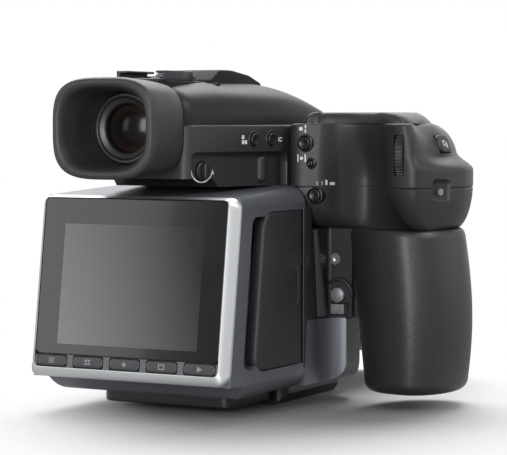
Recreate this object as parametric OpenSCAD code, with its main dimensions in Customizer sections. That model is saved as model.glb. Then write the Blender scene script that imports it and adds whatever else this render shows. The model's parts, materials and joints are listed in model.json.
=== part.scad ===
// Medium format camera: mirror box, digital back, prism finder, battery grip and a short lens.
// Millimetres. X runs to the photographer's right, Y towards the subject, Z up.
// The origin is the mouth of the tripod socket in the base.

/* [Body] */
// Width of the mirror box and of the digital back
body_w = 86; // [82:1:94]
// Height of the lens axis above the base
axis_z = 49; // [47:0.5:54]
// Height of the body's top above the lens axis
top_h = 37; // [35:0.5:41]
// Depth from the back's seat to the lens mount
body_d = 56; // [52:1:62]
// Distance from the tripod socket to the lens mount
mount_y = 31; // [28:1:36]
// Thickness of the base plate
base_h = 8; // [6.5:0.5:9]
// Width of the base plate
base_w = 68; // [58:1:76]
// Diameter of the large tripod thread
thread_big = 9.525; // [8:0.025:10.5]
// Diameter of the small tripod thread
thread_small = 6.35; // [5:0.05:7]
// Reach of the neck from the body's side to the grip
neck_l = 10.5; // [8:0.5:13]
// Height of the side fairing
fairing_h = 25.2; // [18:0.2:28]
// Outward flare of the side fairing
flare = 10.6; // [8:0.2:12]

/* [Digital back] */
// Depth of the back from its seat to the middle of the rear face
back_d = 60; // [54:1:68]
// Height of the rear face
face_h = 69.6; // [67:0.2:76]
// Lean of the rear face
tilt = 8; // [4:0.5:10]
// Width of the bright frame round the glass
rim = 3; // [2:0.25:4]
// Width of the display
display_w = 61; // [52:0.5:68]
// Height of the display
display_h = 45.75; // [40:0.25:48]
// Width of one screen button on a glass 80 wide
key_w = 13.1; // [10:0.1:14.5]
// Height of one screen button
key_h = 4.2; // [3.6:0.1:4.8]
// Distance between screen buttons on a glass 80 wide
key_pitch = 16.1; // [15.6:0.05:16.4]
// Thickness of the card door
door_t = 4.6; // [3.6:0.1:5.4]
// Height of the card door
door_h = 59; // [48:0.5:60]
// Length of the card door from hinge to free edge
door_l = 33; // [26:0.5:35]

/* [Finder] */
// Length of the finder behind the back's seat
finder_l = 57; // [50:1:62]
// Width of the finder at the eyepiece
finder_rear_w = 43; // [40:0.5:48]
// Width of the finder over the mirror
finder_w = 70; // [64:0.5:71]
// Height of the finder's side ledge
ledge_h = 23.5; // [21.5:0.5:26]
// Height of the crown over the ledge
crown_h = 17.3; // [15.5:0.1:20]
// Width of the eyecup
cup_w = 44; // [40:0.5:50]
// Height of the eyecup
cup_h = 37.5; // [35:0.5:42]
// Depth of the eyecup
cup_d = 20; // [16:0.5:26]
// Diameter of the eyepiece glass
eye_d = 21; // [17:0.5:23]
// Width of the accessory shoe's slot
shoe_w = 18.6; // [18.4:0.1:19]

/* [Grip] */
// Height of the grip's upper shell
pod_h = 41; // [38:0.5:45]
// Sideways stretch of the grip
grip_k = 1; // [0.92:0.02:1.06]
// Radius of the scroll wheels
wheel_r = 9; // [8.2:0.1:9.6]
// Width of the scroll wheels
wheel_w = 3.4; // [2.8:0.1:4.4]
// Diameter of the shutter release
release_d = 12; // [9:0.5:13]
// Diameter of the round thumb buttons
thumb_d = 4.9; // [3.8:0.1:5.4]

/* [Lens] */
// Outer diameter of the lens
lens_d = 84; // [78:0.5:88]
// Length of the lens from the mount
lens_l = 70; // [64:0.5:82]
// Diameter of the filter thread
filter_d = 67; // [62:0.5:70]
// Number of ribs on the focus ring
ribs = 60; // [36:2:80]

/* [Fits] */
// Gap between seated pieces
seat = 0.1; // [0.05:0.05:0.2]
// Gap round buttons and doors
play = 0.25; // [0.2:0.05:0.4]
// Radial running clearance of pins and rings
fit = 0.05; // [0.03:0.01:0.08]
// Travel of the small buttons
press = 0.8; // [0.4:0.1:1]

/* [Hidden] */
$fn = 48;
sx = body_w / 2;
yi = mount_y - body_d;
bt = axis_z + top_h;
front = mount_y - 4;
gx = sx - 5;
face_y = yi - back_d;
bezel_t = 5;
glass_w = body_w - 2 * rim;
glass_top = face_h / 2 - 1.4;
bar_z0 = -face_h / 2 + 3.6;
bar_h = key_h + 0.8;
key_b = key_w * glass_w / 80;
key_dx = key_pitch * glass_w / 80;
bar_z1 = bar_z0 + bar_h;
glass_t = 1.4;
fy = yi - finder_l;
fin_front = mount_y + 13;
fin_kink = -4;
fin_y0 = fy + 3.6;
key_y0 = 42.5;
key_y1 = 53.2;
ledge_z = bt + ledge_h;
crown_z = ledge_z + crown_h;
eye_z = ledge_z - 1.2;
side_a = atan2((finder_w - finder_rear_w) / 2, fin_kink - fy);
eye_r = eye_d / 2;
barrel_r = eye_r + 2.9;
cup_y = fy - cup_d - 2;
pod_z0 = axis_z + 20;
pod_z1 = pod_z0 + pod_h;
neck_x = sx + neck_l;
neck_y = -5;
neck_z = base_h + 0.3 + fairing_h + seat;
grip_x = neck_x + 0.4;
foot_z = 6;
rear_wheel_at = [gx + 42.4 * grip_k, -17.9, pod_z1 - 12];
wheel_turn = 18;
front_wheel_at = [gx + 36 * grip_k, 22, pod_z1 - 14];
release_at = [gx + 27.6 * grip_k, 15.6];
mirror_at = [0, yi + 5.5, axis_z + 24];
mirror_l = 42;
flash_at = [0, fy + 35.6, crown_z - 2.3];
flash_w = 27.6;
door_axis = [sx + 0.2 - door_t / 2, yi - 4.2];
door_z0 = axis_z - 31.3;
door_y = back_d - 4.2 - door_l;
pin_r = 1.2;
tube_r = lens_d / 2 - 5;
ring_z0 = 27;
ring_z1 = lens_l - 13.4;

// Helpers

function clamp01(t) = min(1, max(0, t));
function ease(a, b, t) = let (u = clamp01((t - a) / (b - a))) u * u * (3 - 2 * u);
function spow(c, e) = sign(c) * pow(abs(c), e);
// Presses a curve almost flat where it would pass below a.
function flat_below(a, t) = t < a ? a + (t - a) * 0.04 : t;

// Smooth closed curve through the points, k steps to a span.
function spline_at(a, b, c, d, t) =
  0.5 * (2 * b + (c - a) * t + (2 * a - 5 * b + 4 * c - d) * t * t + (3 * b - a - 3 * c + d) * t * t * t);
function closed_spline(p, k) =
  let (n = len(p))
  [for (i = [0 : n - 1]) for (s = [0 : k - 1])
    spline_at(p[(i + n - 1) % n], p[i], p[(i + 1) % n], p[(i + 2) % n], s / k)];

// Polygon whose corners are rounded by the radii in r.
function corner_arc(a, b, c, r, k) =
  let (u = (a - b) / norm(a - b), v = (c - b) / norm(c - b), h = acos(max(-1, min(1, u * v))) / 2)
  let (m = b + (u + v) / norm(u + v) * r / sin(h))
  let (s = b + u * r / tan(h) - m, e = b + v * r / tan(h) - m)
  let (a0 = atan2(s.y, s.x), da = (atan2(e.y, e.x) - a0 + 540) % 360 - 180)
  [for (i = [0 : k]) m + r * [cos(a0 + da * i / k), sin(a0 + da * i / k)]];
function round_poly(p, r, k = 6) =
  let (n = len(p))
  [for (i = [0 : n - 1])
    each r[i] > 0 ? corner_arc(p[(i + n - 1) % n], p[i], p[(i + 1) % n], r[i], k) : [p[i]]];

// Rounded rectangle of true arcs, centred.
module rounded(w, h, r) {
  square([w - 2 * r, h], center = true);
  square([w, h - 2 * r], center = true);
  for (x = [-1, 1])
    for (y = [-1, 1])
      translate([x * (w / 2 - r), y * (h / 2 - r)]) circle(r);
}

// Profile in (y, z) drawn out along X, centred.
module along_x(w) {
  rotate([90, 0, 90]) linear_extrude(w, center = true) children();
}

// Profile in (x, z) drawn out along Y from y0 to y1.
module along_y(y0, y1) {
  translate([0, y1, 0]) rotate([90, 0, 0]) linear_extrude(y1 - y0) children();
}

// Cylinder along Y from y0 to y1.
module rod_y(r, y0, y1) {
  translate([0, y0, 0]) rotate([-90, 0, 0]) cylinder(r = r, h = y1 - y0);
}

// Cylinder along X from x0 to x1.
module rod_x(r, x0, x1) {
  translate([x0, 0, 0]) rotate([0, 90, 0]) cylinder(r = r, h = x1 - x0);
}

// Solid through a stack of rings with equal point counts, closed on itself or capped.
// Each cap is a fan round its ring's mean point, or round the given hub.
module loft(rings, loop = false, hub = undef) {
  n = len(rings[0]);
  m = len(rings);
  sides = [for (j = [0 : loop ? m - 1 : m - 2]) for (i = [0 : n - 1])
    let (a = j * n + i, b = j * n + (i + 1) % n)
    let (d = ((j + 1) % m) * n + i, c = ((j + 1) % m) * n + (i + 1) % n)
    each [[a, d, c], [a, c, b]]];
  ends = loop ? [] : [for (g = [rings[0], rings[m - 1]])
    let (c = [for (p = g) 1] * g / n) hub == undef ? c : [hub.x, hub.y, c.z]];
  caps = loop ? [] : [for (i = [0 : n - 1]) let (j = (i + 1) % n)
    each [[n * m, i, j], [n * m + 1, (m - 1) * n + j, (m - 1) * n + i]]];
  polyhedron(concat([for (g = rings) each g], ends), concat(sides, caps), convexity = 6);
}

// Frame of the leaning rear face: local y runs into the back, local z up the face.
module on_face() {
  translate([0, face_y, axis_z]) rotate([-tilt, 0, 0]) children();
}
function face_pt(y, z) = [face_y + y * cos(tilt) + z * sin(tilt), axis_z + z * cos(tilt) - y * sin(tilt)];

// Frame on the finder's side: local x outward, local y forward from the rear corner.
module on_side(s = 1) {
  mirror([s < 0 ? 1 : 0, 0, 0]) translate([finder_rear_w / 2, fy, 0]) rotate([0, 0, -side_a]) children();
}

// Frame on the lens axis: local z forward from the mount.
module on_axis() {
  translate([0, mount_y, axis_z]) rotate([-90, 0, 0]) children();
}

// Lens body with two curved faces, axis along local z.
module glass_disc(r, edge, bulge0, bulge1) {
  n = 8;
  low = [for (i = [0 : n]) [r * i / n, -bulge0 * (1 - pow(i / n, 2))]];
  high = [for (i = [n : -1 : 0]) [r * i / n, edge + bulge1 * (1 - pow(i / n, 2))]];
  rotate_extrude() polygon(concat(low, high));
}

// Body

module neck_plan() {
  r = 1.5;
  arc = [for (i = [0 : 8]) [sx + r, neck_y - r] + r * [cos(180 - 90 * i / 8), sin(180 - 90 * i / 8)]];
  polygon(concat([[gx - 1, yi + seat], [sx, yi + seat]], arc,
    [[neck_x, neck_y], [neck_x, 21], [gx - 1, 21]]));
}

module body_shell() color([0.09, 0.09, 0.1]) difference() {
  union() {
    translate([0, 0, base_h + seat]) linear_extrude(bt - base_h - seat)
      polygon(round_poly([[-sx, yi + seat], [gx - seat, yi + seat], [gx - seat, front], [-sx, front]],
        [2, 0, 3, 9]));
    translate([0, 0, neck_z]) linear_extrude(pod_z0 - seat - neck_z) neck_plan();
  }
  translate([-31, yi + 2.5, axis_z - 30]) cube([62, front - 2.5 - yi - 2.5, 62]);
  translate([-28, yi - 1, axis_z - 21.5]) cube([56, 8, 43]);
  translate([0, 0, axis_z]) rod_y(31, 15, front + 1);
  translate([-28, -17, bt - 8]) cube([56, 36, 9]);
  translate([-30, -19, bt - 3]) cube([60, 40, 4]);
  translate(mirror_at) rod_x(pin_r + fit, -34, 34);
  back_release_at() rod_y(3 + play, -1, 4.5);
  back_release_at() rod_y(1.6 + play, 4, 8);
  lock_slide_at() translate([-3.3, -1, -2.4]) cube([8, 3.5, 4.8]);
  rear_screw_at() rod_y(2.5, -1, 1.2);
  rear_screw_at() rod_y(1.5, 0, 8);
  lens_release_at() rod_y(4.2 + play, -5, 1);
  mirror_button_at() rod_y(3 + play, -3.2 - press, 1);
}

module side_fairing() color([0.36, 0.38, 0.41]) {
  z0 = base_h + 0.3;
  yk = neck_y - flare;
  arc = [for (i = [0 : 12]) [sx + flare, yk] + flare * [cos(180 - 90 * i / 12), sin(180 - 90 * i / 12)]];
  intersection() {
    translate([0, 0, z0]) linear_extrude(fairing_h)
      polygon(concat([[gx, yi + seat], [sx, yi + seat]], arc,
        [[sx + flare + 0.8, neck_y + 0.8], [sx + flare + 0.8, 3], [sx + 2, 15], [gx, 17]]));
    along_y(yi - 1, 30)
      polygon(round_poly([[gx - 1, z0], [sx + flare - 2.4, z0], [sx + flare - 2.4, z0 + fairing_h],
        [gx - 1, z0 + fairing_h]], [0, 8, 0.8, 0], 8));
  }
}

module base_plate() color([0.07, 0.07, 0.08]) difference() {
  w = base_w / 2;
  intersection() {
    linear_extrude(base_h)
      polygon(round_poly([[-w, yi + seat], [w, yi + seat], [w, front], [-w, front]], [4, 4, 6, 6]));
    along_y(yi - 5, front + 5)
      polygon([[4 - w, 0], [w - 4, 0], [w, 4], [w, base_h], [-w, base_h], [-w, 4]]);
  }
  translate([0, 0, -1]) cylinder(d = thread_big, h = base_h);
  translate([0, 15, -1]) cylinder(d = thread_small, h = base_h);
  for (x = [-1, 1])
    for (y = [yi + 6, front - 7])
      translate([x * (base_w / 2 - 8), y, -1]) cylinder(r = 2.4, h = 3.2);
}

module lens_mount() color([0.72, 0.72, 0.74]) on_axis() difference() {
  translate([0, 0, -4 + seat]) cylinder(r = 37, h = 4 - seat);
  translate([0, 0, -5]) cylinder(r = 31.5, h = 6);
}

module left_cover() color([0.13, 0.13, 0.14]) {
  translate([-sx - 1.3, 0, axis_z - 3]) along_x(2.6 - 2 * seat) rounded(38, 56, 6);
}

module lug_right_at() {
  translate([gx + 57.3 * grip_k, -13, pod_z0 + 15]) rotate([0, 0, -23]) children();
}

module strap_lugs() color([0.7, 0.7, 0.72]) {
  translate([0, -2, bt - 5]) {
    translate([-sx, 0, 0]) rod_x(1.5, -4, 0);
    translate([-sx, 0, 0]) rod_x(2.6, -5, -4);
  }
  lug_right_at() {
    rod_x(0.8, -3.3, -1.4);
    rod_x(1.3, -1.6, -0.6);
  }
}

module rear_screw_at() translate([sx + 3.2, neck_y, axis_z + 7.6]) children();

module body_screws() color([0.6, 0.6, 0.62]) {
  rear_screw_at() difference() {
    union() {
      rod_y(2.3, -0.1, 1.1);
      rod_y(1.4, 1, 7);
    }
    rotate([90, 0, 0]) cylinder(r = 1.2, h = 2, center = true, $fn = 6);
  }
  for (x = [-1, 1])
    for (y = [yi + 6, front - 7])
      translate([x * (base_w / 2 - 8), y, 0.5]) difference() {
        cylinder(r = 2.2, h = 1.6);
        translate([-0.4, -3, -1]) cube([0.8, 6, 1.5]);
      }
}

module focusing_screen() color([0.8, 0.85, 0.88]) {
  translate([-29.8, -18.8, bt - 3 + seat]) cube([59.6, 39.6, 2.5]);
}

module reflex_mirror() color([0.85, 0.87, 0.9]) translate(mirror_at) {
  rod_x(pin_r, -33.5, 33.5);
  rotate([-45, 0, 0]) translate([-27, 0, -1.4]) cube([54, mirror_l, 2.4]);
}

module back_release_at() translate([sx + 4.7, neck_y, axis_z - 6.6]) children();

module back_release() color([0.78, 0.78, 0.8]) back_release_at() {
  rod_y(3, -1.6, 1.6);
  rod_y(1.5, 1, 5.4);
}

module lock_slide_at() translate([sx + 4.8, neck_y, axis_z - 12.2]) children();

module lock_slide() color([0.35, 0.35, 0.37]) lock_slide_at() difference() {
  translate([-2.9, -1.6, -2]) cube([5.8, 3.6, 4]);
  for (i = [-2 : 2])
    translate([i * 1.1 - 0.2, -2, -3]) cube([0.4, 0.9, 6]);
}

module lens_release_at() translate([-sx + 5.6, front, axis_z - 27]) children();

module lens_release() color([0.12, 0.12, 0.13]) lens_release_at() {
  rod_y(4.2, -2, 3);
  rod_y(3.4, 2.8, 3.6);
}

module mirror_button_at() translate([sx + 6.5, 21, axis_z + 3]) children();

module mirror_button() color([0.12, 0.12, 0.13]) mirror_button_at() rod_y(3, -2.4, 1.4);

// Digital back

module back_side() {
  z0 = base_h - 0.4;
  a = face_pt(bezel_t, -face_h / 2);
  b = face_pt(bezel_t, face_h / 2);
  polygon(round_poly([[yi, z0], [yi, bt - 0.4], b, a, [a.x + 9, a.y - 0.6], [a.x + 13.5, z0]],
    [0, 1, 0, 0, 0.6, 5]));
}

// Y of a plane parallel to the rear face, yl behind it, at height z.
function edge_y(yl, z) = face_y + yl / cos(tilt) + (z - axis_z) * tan(tilt);

// Side view of the card door grown by g, its free edge parallel to the rear face.
module door_side(g, yl) {
  z0 = door_z0 - g;
  z1 = door_z0 + door_h + g;
  polygon(round_poly(
    [[edge_y(yl - g, z0), z0], [door_axis.y, z0], [door_axis.y, z1], [edge_y(yl - g, z1), z1]],
    [6 + g, 0, 0, 6 + g]));
}

module back_housing() color([0.36, 0.38, 0.41]) difference() {
  intersection() {
    along_x(body_w) back_side();
    along_y(face_y - 20, yi + 1) translate([0, (bt + base_h) / 2 - 0.4]) rounded(body_w, bt - base_h, 7);
  }
  // display, button and board pockets
  on_face() translate([-display_w / 2 - 2, bezel_t - 1, -display_h / 2 - 1.5])
    cube([display_w + 4, 3, display_h + 4]);
  for (i = [-2 : 2])
    on_face() translate([i * key_dx - key_b / 2 - play, 0, bar_z0 + bar_h / 2 - key_h / 2 - play])
      cube([key_b + 2 * play, bezel_t + 1.4 + press, key_h + 2 * play]);
  translate([-34, yi - 44, axis_z - 31]) cube([68, 42, 62]);
  translate([-27, yi - 5, axis_z - 21]) cube([54, 6, 42]);
  // card bay, door seat and finger scoop
  translate([30, yi - 36, door_z0 + 4]) cube([sx - 30, 30, door_h - 8]);
  translate([door_axis.x + 5 - door_t / 2 - 0.3, 0, 0]) along_x(10) door_side(0.3, door_y);
  translate([door_axis.x, door_axis.y, door_z0 - 0.3]) cylinder(r = door_t / 2 + 0.3, h = door_h + 0.6);
  translate([door_axis.x, door_axis.y - door_t / 2 - 0.3, door_z0 - 0.3])
    cube([9, door_t + 0.6, door_h + 0.6]);
  intersection() {
    along_x(body_w + 9) door_side(-1.2, door_y - 11);
    door_scoop();
  }
  translate([door_axis.x, door_axis.y, door_z0 - 2.2]) cylinder(r = pin_r + fit, h = door_h + 4.4);
}

// Sloping finger scoop behind the door's free edge.
module door_scoop() {
  y1 = door_y;
  on_face() translate([0, 0, -60]) linear_extrude(120)
    polygon([[sx + 1, y1 - 10], [sx - 0.1, y1 - 9], [sx + 0.2 - door_t, y1 - 1], [sx + 0.2 - door_t, y1 + 1],
      [sx + 1, y1 + 1]]);
}

// Frame block: each side slopes from the glass's edge at the front to the full size near the back.
module bezel_block(w, h, side, low, high) {
  y = bezel_t - 0.5;
  intersection() {
    rotate([90, 0, 0]) translate([0, 0, -bezel_t]) linear_extrude(bezel_t) rounded(w, h, 4.5);
    along_x(w)
      polygon([[bezel_t, -h / 2], [bezel_t, h / 2], [y, h / 2], [0, h / 2 - high], [0, -h / 2 + low],
        [y, -h / 2]]);
    translate([0, 0, -h / 2]) linear_extrude(h)
      polygon([[-w / 2, bezel_t], [w / 2, bezel_t], [w / 2, y], [w / 2 - side, 0], [-w / 2 + side, 0],
        [-w / 2, y]]);
  }
}

module back_frame() color([0.82, 0.83, 0.84]) on_face() difference() {
  bezel_block(body_w, face_h, rim - 0.3, bar_z0 + face_h / 2 - 0.3, face_h / 2 - glass_top - 0.3);
  translate([0, bezel_t + 1, (glass_top + bar_z0) / 2]) rotate([90, 0, 0]) linear_extrude(bezel_t + 2)
    rounded(glass_w, glass_top - bar_z0, 2);
}

module screen_glass() color([0.03, 0.03, 0.04]) on_face() {
  translate([0, 0.3 + glass_t, (glass_top + bar_z1) / 2]) rotate([90, 0, 0]) linear_extrude(glass_t)
    rounded(glass_w - 2 * seat, glass_top - bar_z1 - 2 * seat, 1.9);
}

module display_panel() color([0.12, 0.14, 0.16]) on_face() {
  translate([-display_w / 2, 0.3 + glass_t + seat, -display_h / 2 + 0.6]) cube([display_w, 3, display_h]);
}

module button_bar() color([0.3, 0.31, 0.33]) on_face() difference() {
  translate([0, bezel_t - seat, bar_z0 + bar_h / 2]) rotate([90, 0, 0]) linear_extrude(bezel_t - 0.5)
    rounded(glass_w - 2 * seat, bar_h - 2 * seat, 2);
  for (i = [-2 : 2])
    translate([i * key_dx, bezel_t + 1, bar_z0 + bar_h / 2]) rotate([90, 0, 0])
      linear_extrude(bezel_t + 2) rounded(key_b + 2 * play, key_h + 2 * play, 1);
}

module screen_key(i) color([0.1, 0.1, 0.11]) on_face() {
  translate([i * key_dx, bezel_t + 1.2, bar_z0 + bar_h / 2]) rotate([90, 0, 0])
    linear_extrude(bezel_t + 1.2) rounded(key_b, key_h, 0.9);
}
module screen_key_1() screen_key(-2);
module screen_key_2() screen_key(-1);
module screen_key_3() screen_key(0);
module screen_key_4() screen_key(1);
module screen_key_5() screen_key(2);

module card_door() color([0.06, 0.06, 0.07]) {
  translate([door_axis.x, 0, 0]) along_x(door_t) door_side(0, door_y);
  translate([door_axis.x, door_axis.y, door_z0]) cylinder(r = door_t / 2, h = door_h);
  translate([door_axis.x, door_axis.y, door_z0 - 2]) cylinder(r = pin_r, h = door_h + 4);
}

module card_slots() color([0.05, 0.05, 0.05]) difference() {
  translate([30 + seat, yi - 36 + seat, door_z0 + 4 + seat])
    cube([door_axis.x - door_t / 2 - 31, 30 - 2 * seat, door_h - 8 - 2 * seat]);
  for (y = [yi - 28, yi - 16])
    translate([32, y, door_z0 + 9]) cube([20, 3.6, door_h - 18]);
}

module image_sensor() color([0.2, 0.3, 0.34]) {
  translate([-30, yi - 9.4, axis_z - 25]) cube([60, 3, 50]);
  translate([-26.7, yi - 6.5, axis_z - 20]) cube([53.4, 0.7, 40]);
}

module sensor_filter() color([0.55, 0.75, 0.8]) {
  translate([-26.9, yi - 5, axis_z - 20.9]) cube([53.8, 1.6, 41.8]);
}

module main_board() color([0.08, 0.28, 0.14]) {
  translate([-33.8, yi - 40, axis_z - 30.5]) cube([67.6, 1.6, 61]);
  translate([-22, yi - 38.5, axis_z - 18]) cube([44, 28.8, 36]);
}

module back_foot() color([0.16, 0.16, 0.17]) {
  translate([0, 0, 2]) linear_extrude(base_h - 2.5)
    polygon(round_poly([[-29, yi - 34], [29, yi - 34], [29, yi - 2], [-29, yi - 2]], [5, 5, 1, 1]));
}

// Finder

function finder_half(y) =
  y < fin_kink ? finder_rear_w / 2 + (y - fy) * tan(side_a)
  : min(finder_w / 2, sqrt(max(0, 50 * 50 - pow(y - fin_front + 50, 2))));

module finder_plan() {
  w = finder_half(fin_y0);
  polygon([[-w, fin_y0], [w, fin_y0], [finder_w / 2, fin_kink], [finder_w / 2, 8], [-finder_w / 2, 8],
    [-finder_w / 2, fin_kink]]);
  intersection() {
    translate([-finder_w / 2, 7]) square([finder_w, 60]);
    translate([0, fin_front - 50]) circle(50, $fn = 96);
  }
}

module finder_base() color([0.09, 0.09, 0.1]) difference() {
  translate([0, 0, bt + seat]) linear_extrude(ledge_z - bt - seat) finder_plan();
  for (s = [-1, 1])
    on_side(s) along_x_side()
      polygon(round_poly([[7, bt + 1.6], [57, bt + 1.6], [57, bt + 10], [7, bt + 10]], [1, 2, 5, 2]));
  translate([-25, -28, bt - 1]) cube([50, 52, ledge_h + 4]);
  translate([0, 0, eye_z]) rod_y(eye_r - 1.5, fy - 1, -27);
  translate([0, 0, eye_z]) rod_y(barrel_r + seat, fy - 1, fy + 8.2);
  translate([0, 0, axis_z]) rod_y(lens_d / 2 + 1.2, front + 2, fin_front + 5);
  along_x(body_w) polygon([[fy - 1, bt - 1], [fy + 26, bt - 1], [fy + 21, bt + 3.2], [fy - 1, bt + 3.8]]);
  on_side() {
    catch_at() rod_x(3.6 + 0.3, -4.3, 0);
    catch_at() rod_x(1.5 + fit, -8, 0);
    for (y = [key_y0, key_y1])
      translate([0, y, eye_z - 4.4]) rod_x(thumb_d / 2 + play, -2.8 - press, 1);
  }
  on_side(-1) {
    dial_at() rod_x(6 + 0.35, -3.2, 2);
    dial_at() rod_x(1.5 + fit, -8, 0);
  }
}

module along_x_side() translate([-3, 0, 0]) rotate([90, 0, 90]) linear_extrude(8) children();

// Height of the crown along the finder.
function crown_at(y) =
  ledge_z + crown_h * (0.9 + 0.1 * ease(fy, fy + 32, y))
    * max(0.08, 1 - pow(clamp01((y - fy - 54) / (fin_front + 21)), 2.7));

// The crown's rear end is rounded over.
function crown_end(y) = 0.82 + 0.18 * dome(1 - (y - fin_y0) / 6);

function crown_ring(y, k) =
  let (w = min(finder_half(y) - 1.6, finder_w / 2 - 4.5) * crown_end(y), e = 2 / 2.7)
  let (h = (crown_at(y) - ledge_z - seat) * crown_end(y))
  [for (i = [0 : k]) [-w * spow(cos(180 * i / k), e), y, ledge_z + seat + h * spow(sin(180 * i / k), e)]];

module finder_cover() color([0.09, 0.09, 0.1]) difference() {
  union() {
    loft([for (j = [0 : 27]) let (t = j < 5 ? [0, 0.006, 0.016, 0.03, 0.05][j] : 0.05 + 0.95 * (j - 4) / 23)
      crown_ring(fin_y0 + (fin_front - 4 - fin_y0) * t, 22)]);
    translate([-12.5, fin_y0 + 1, crown_z - 8]) cube([25, 29, 7.3]);
  }
  translate([-24, -28, ledge_z - 1]) cube([48, 46, 7]);
  translate([0, 0, eye_z]) rod_y(eye_r - 1.5, fy - 1, -27);
  translate([0, 0, eye_z]) rod_y(barrel_r + seat, fy - 1, fy + 8.2);
  translate([0, flash_at.y, flash_at.z]) {
    translate([-flash_w / 2 - play, -3.2, -3]) cube([flash_w + 2 * play, 44, 20]);
    translate([-flash_w / 2 - play, 6.6, -5.4]) cube([flash_w + 2 * play, 34.2, 20]);
    rod_x(pin_r + fit, -flash_w / 2 - 3.2, flash_w / 2 + 3.2);
  }
  translate([-shoe_w / 2 - 1.8, fy + 5.8, crown_z - 0.7]) cube([shoe_w + 3.6, 22.4, 9]);
}

module prism() color([0.7, 0.8, 0.85]) {
  along_x(47)
    polygon([[-27, bt + 1], [23, bt + 1], [23, ledge_z - 4], [8, ledge_z + 5], [-20, ledge_z + 5],
      [-27, ledge_z]]);
}

module eyepiece_barrel() color([0.06, 0.06, 0.06]) translate([0, 0, eye_z]) difference() {
  rod_y(barrel_r, fy - 6, fy + 8);
  rod_y(eye_r + seat, fy - 7, fy + 1);
  rod_y(eye_r - 1.5, fy, fy + 9);
}

module eyepiece_lens() color([0.3, 0.32, 0.4]) translate([0, fy - 4.4, eye_z]) rotate([-90, 0, 0])
  glass_disc(eye_r, 3.4, 1.2, 1);

// One ring of the eyecup: half width a, half height b, squareness q.
function cup_ring(y, a, b, q, n) =
  [for (i = [0 : n - 1]) let (t = 360 * i / n)
    [a * spow(cos(t), 2 / q), y, eye_z + b * spow(sin(t), 2 / q)]];

module eyecup() color([0.07, 0.07, 0.07]) {
  a = cup_w / 2;
  b = cup_h / 2;
  r = barrel_r + 0.2;
  n = 64;
  loft([cup_ring(fin_y0 - seat, a - 2, b - 1.6, 3.4, n), cup_ring(fy - 5, a - 1, b - 0.8, 3.4, n),
    cup_ring(cup_y + 2.6, a, b, 3.4, n), cup_ring(cup_y + 0.8, a - 0.3, b - 0.3, 3.4, n),
    cup_ring(cup_y, a - 1.2, b - 1.2, 3.4, n), cup_ring(cup_y + 0.1, a - 2.8, b - 2.8, 3.2, n),
    cup_ring(cup_y + 1.6, a - 4, b - 3.8, 3, n), cup_ring(cup_y + cup_d * 0.4, a - 6.6, b - 4.9, 2.6, n),
    cup_ring(fy - 6.2, r + 0.5, r + 0.3, 2, n), cup_ring(fy - 5.4, r, r, 2, n),
    cup_ring(fin_y0 - seat, r, r, 2, n)], loop = true);
}

module accessory_shoe() color([0.75, 0.75, 0.77]) {
  z = crown_z - 0.6;
  w = shoe_w / 2;
  translate([0, fy + 6, 0]) {
    along_y(0, 20)
      polygon([[-w - 1.6, z], [w + 1.6, z], [w + 1.6, z + 3.7], [w - 3, z + 3.7], [w - 3, z + 2.8],
        [w, z + 2.8], [w, z + 0.7], [-w, z + 0.7], [-w, z + 2.8], [-w + 3, z + 2.8], [-w + 3, z + 3.7],
        [-w - 1.6, z + 3.7]]);
    translate([-w - 1.6, 20, z]) cube([2 * w + 3.2, 2, 2]);
  }
}

module flash_head() color([0.08, 0.08, 0.09]) translate(flash_at) {
  along_x(flash_w)
    polygon([[-1.6, -1.4], [1, -2.3], [7, -2.4], [13, -5], [39.6, -5], [40, 1.6], [30, 4.6], [16, 6.3],
      [6.5, 6.3], [-1, 2]]);
  rod_x(pin_r, -flash_w / 2 - 3, flash_w / 2 + 3);
}

module catch_at() translate([0, 14.5, bt + 6.3]) children();

module flash_catch() color([0.12, 0.12, 0.13]) on_side() catch_at() {
  rod_x(3.6, -4.1, -2);
  rod_x(1.5, -7.8, -4);
  translate([-2.2, -1, -3.2]) cube([1.9, 2, 6.4]);
}

module finder_key(y) color([0.13, 0.13, 0.14]) on_side()
  translate([0, y, eye_z - 4.4]) rod_x(thumb_d / 2, -2.2, 0.9);
module finder_key_rear() finder_key(key_y0);
module finder_key_front() finder_key(key_y1);

module dial_at() translate([0, 18, bt + 16.5]) children();

module dioptre_dial() color([0.12, 0.12, 0.13]) on_side(-1) dial_at() {
  rotate([0, 90, 0]) translate([0, 0, -3]) linear_extrude(4.4) circle(6, $fn = 12);
  rod_x(1.5, -7.8, -2.9);
}

// Grip

// Outline of the pod: where it meets the battery grip, and at its fullest.
pod_low = [[0, -5], [7, -5], [14, -5.5], [22, -7], [30, -12], [37, -16.5], [43.5, -17.5], [49, -14],
  [52.5, -6], [53.5, 4], [50.5, 15], [43, 23], [32, 26], [16, 24], [0, 22]];
pod_full = [[0, -19], [8.4, -20.6], [14.6, -13], [23, -7], [33.6, -11], [38.8, -22.6], [47, -26.5],
  [54.5, -20], [59.2, -8], [60.3, 5], [56.5, 19], [46, 28], [32, 30.5], [16, 26], [0, 23]];

// A point from which the whole outline can be seen.
pod_hub = [gx + 29.5 * grip_k, 13];

function dome(t) = sqrt(max(0, 1 - pow(clamp01(t), 2)));

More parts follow.
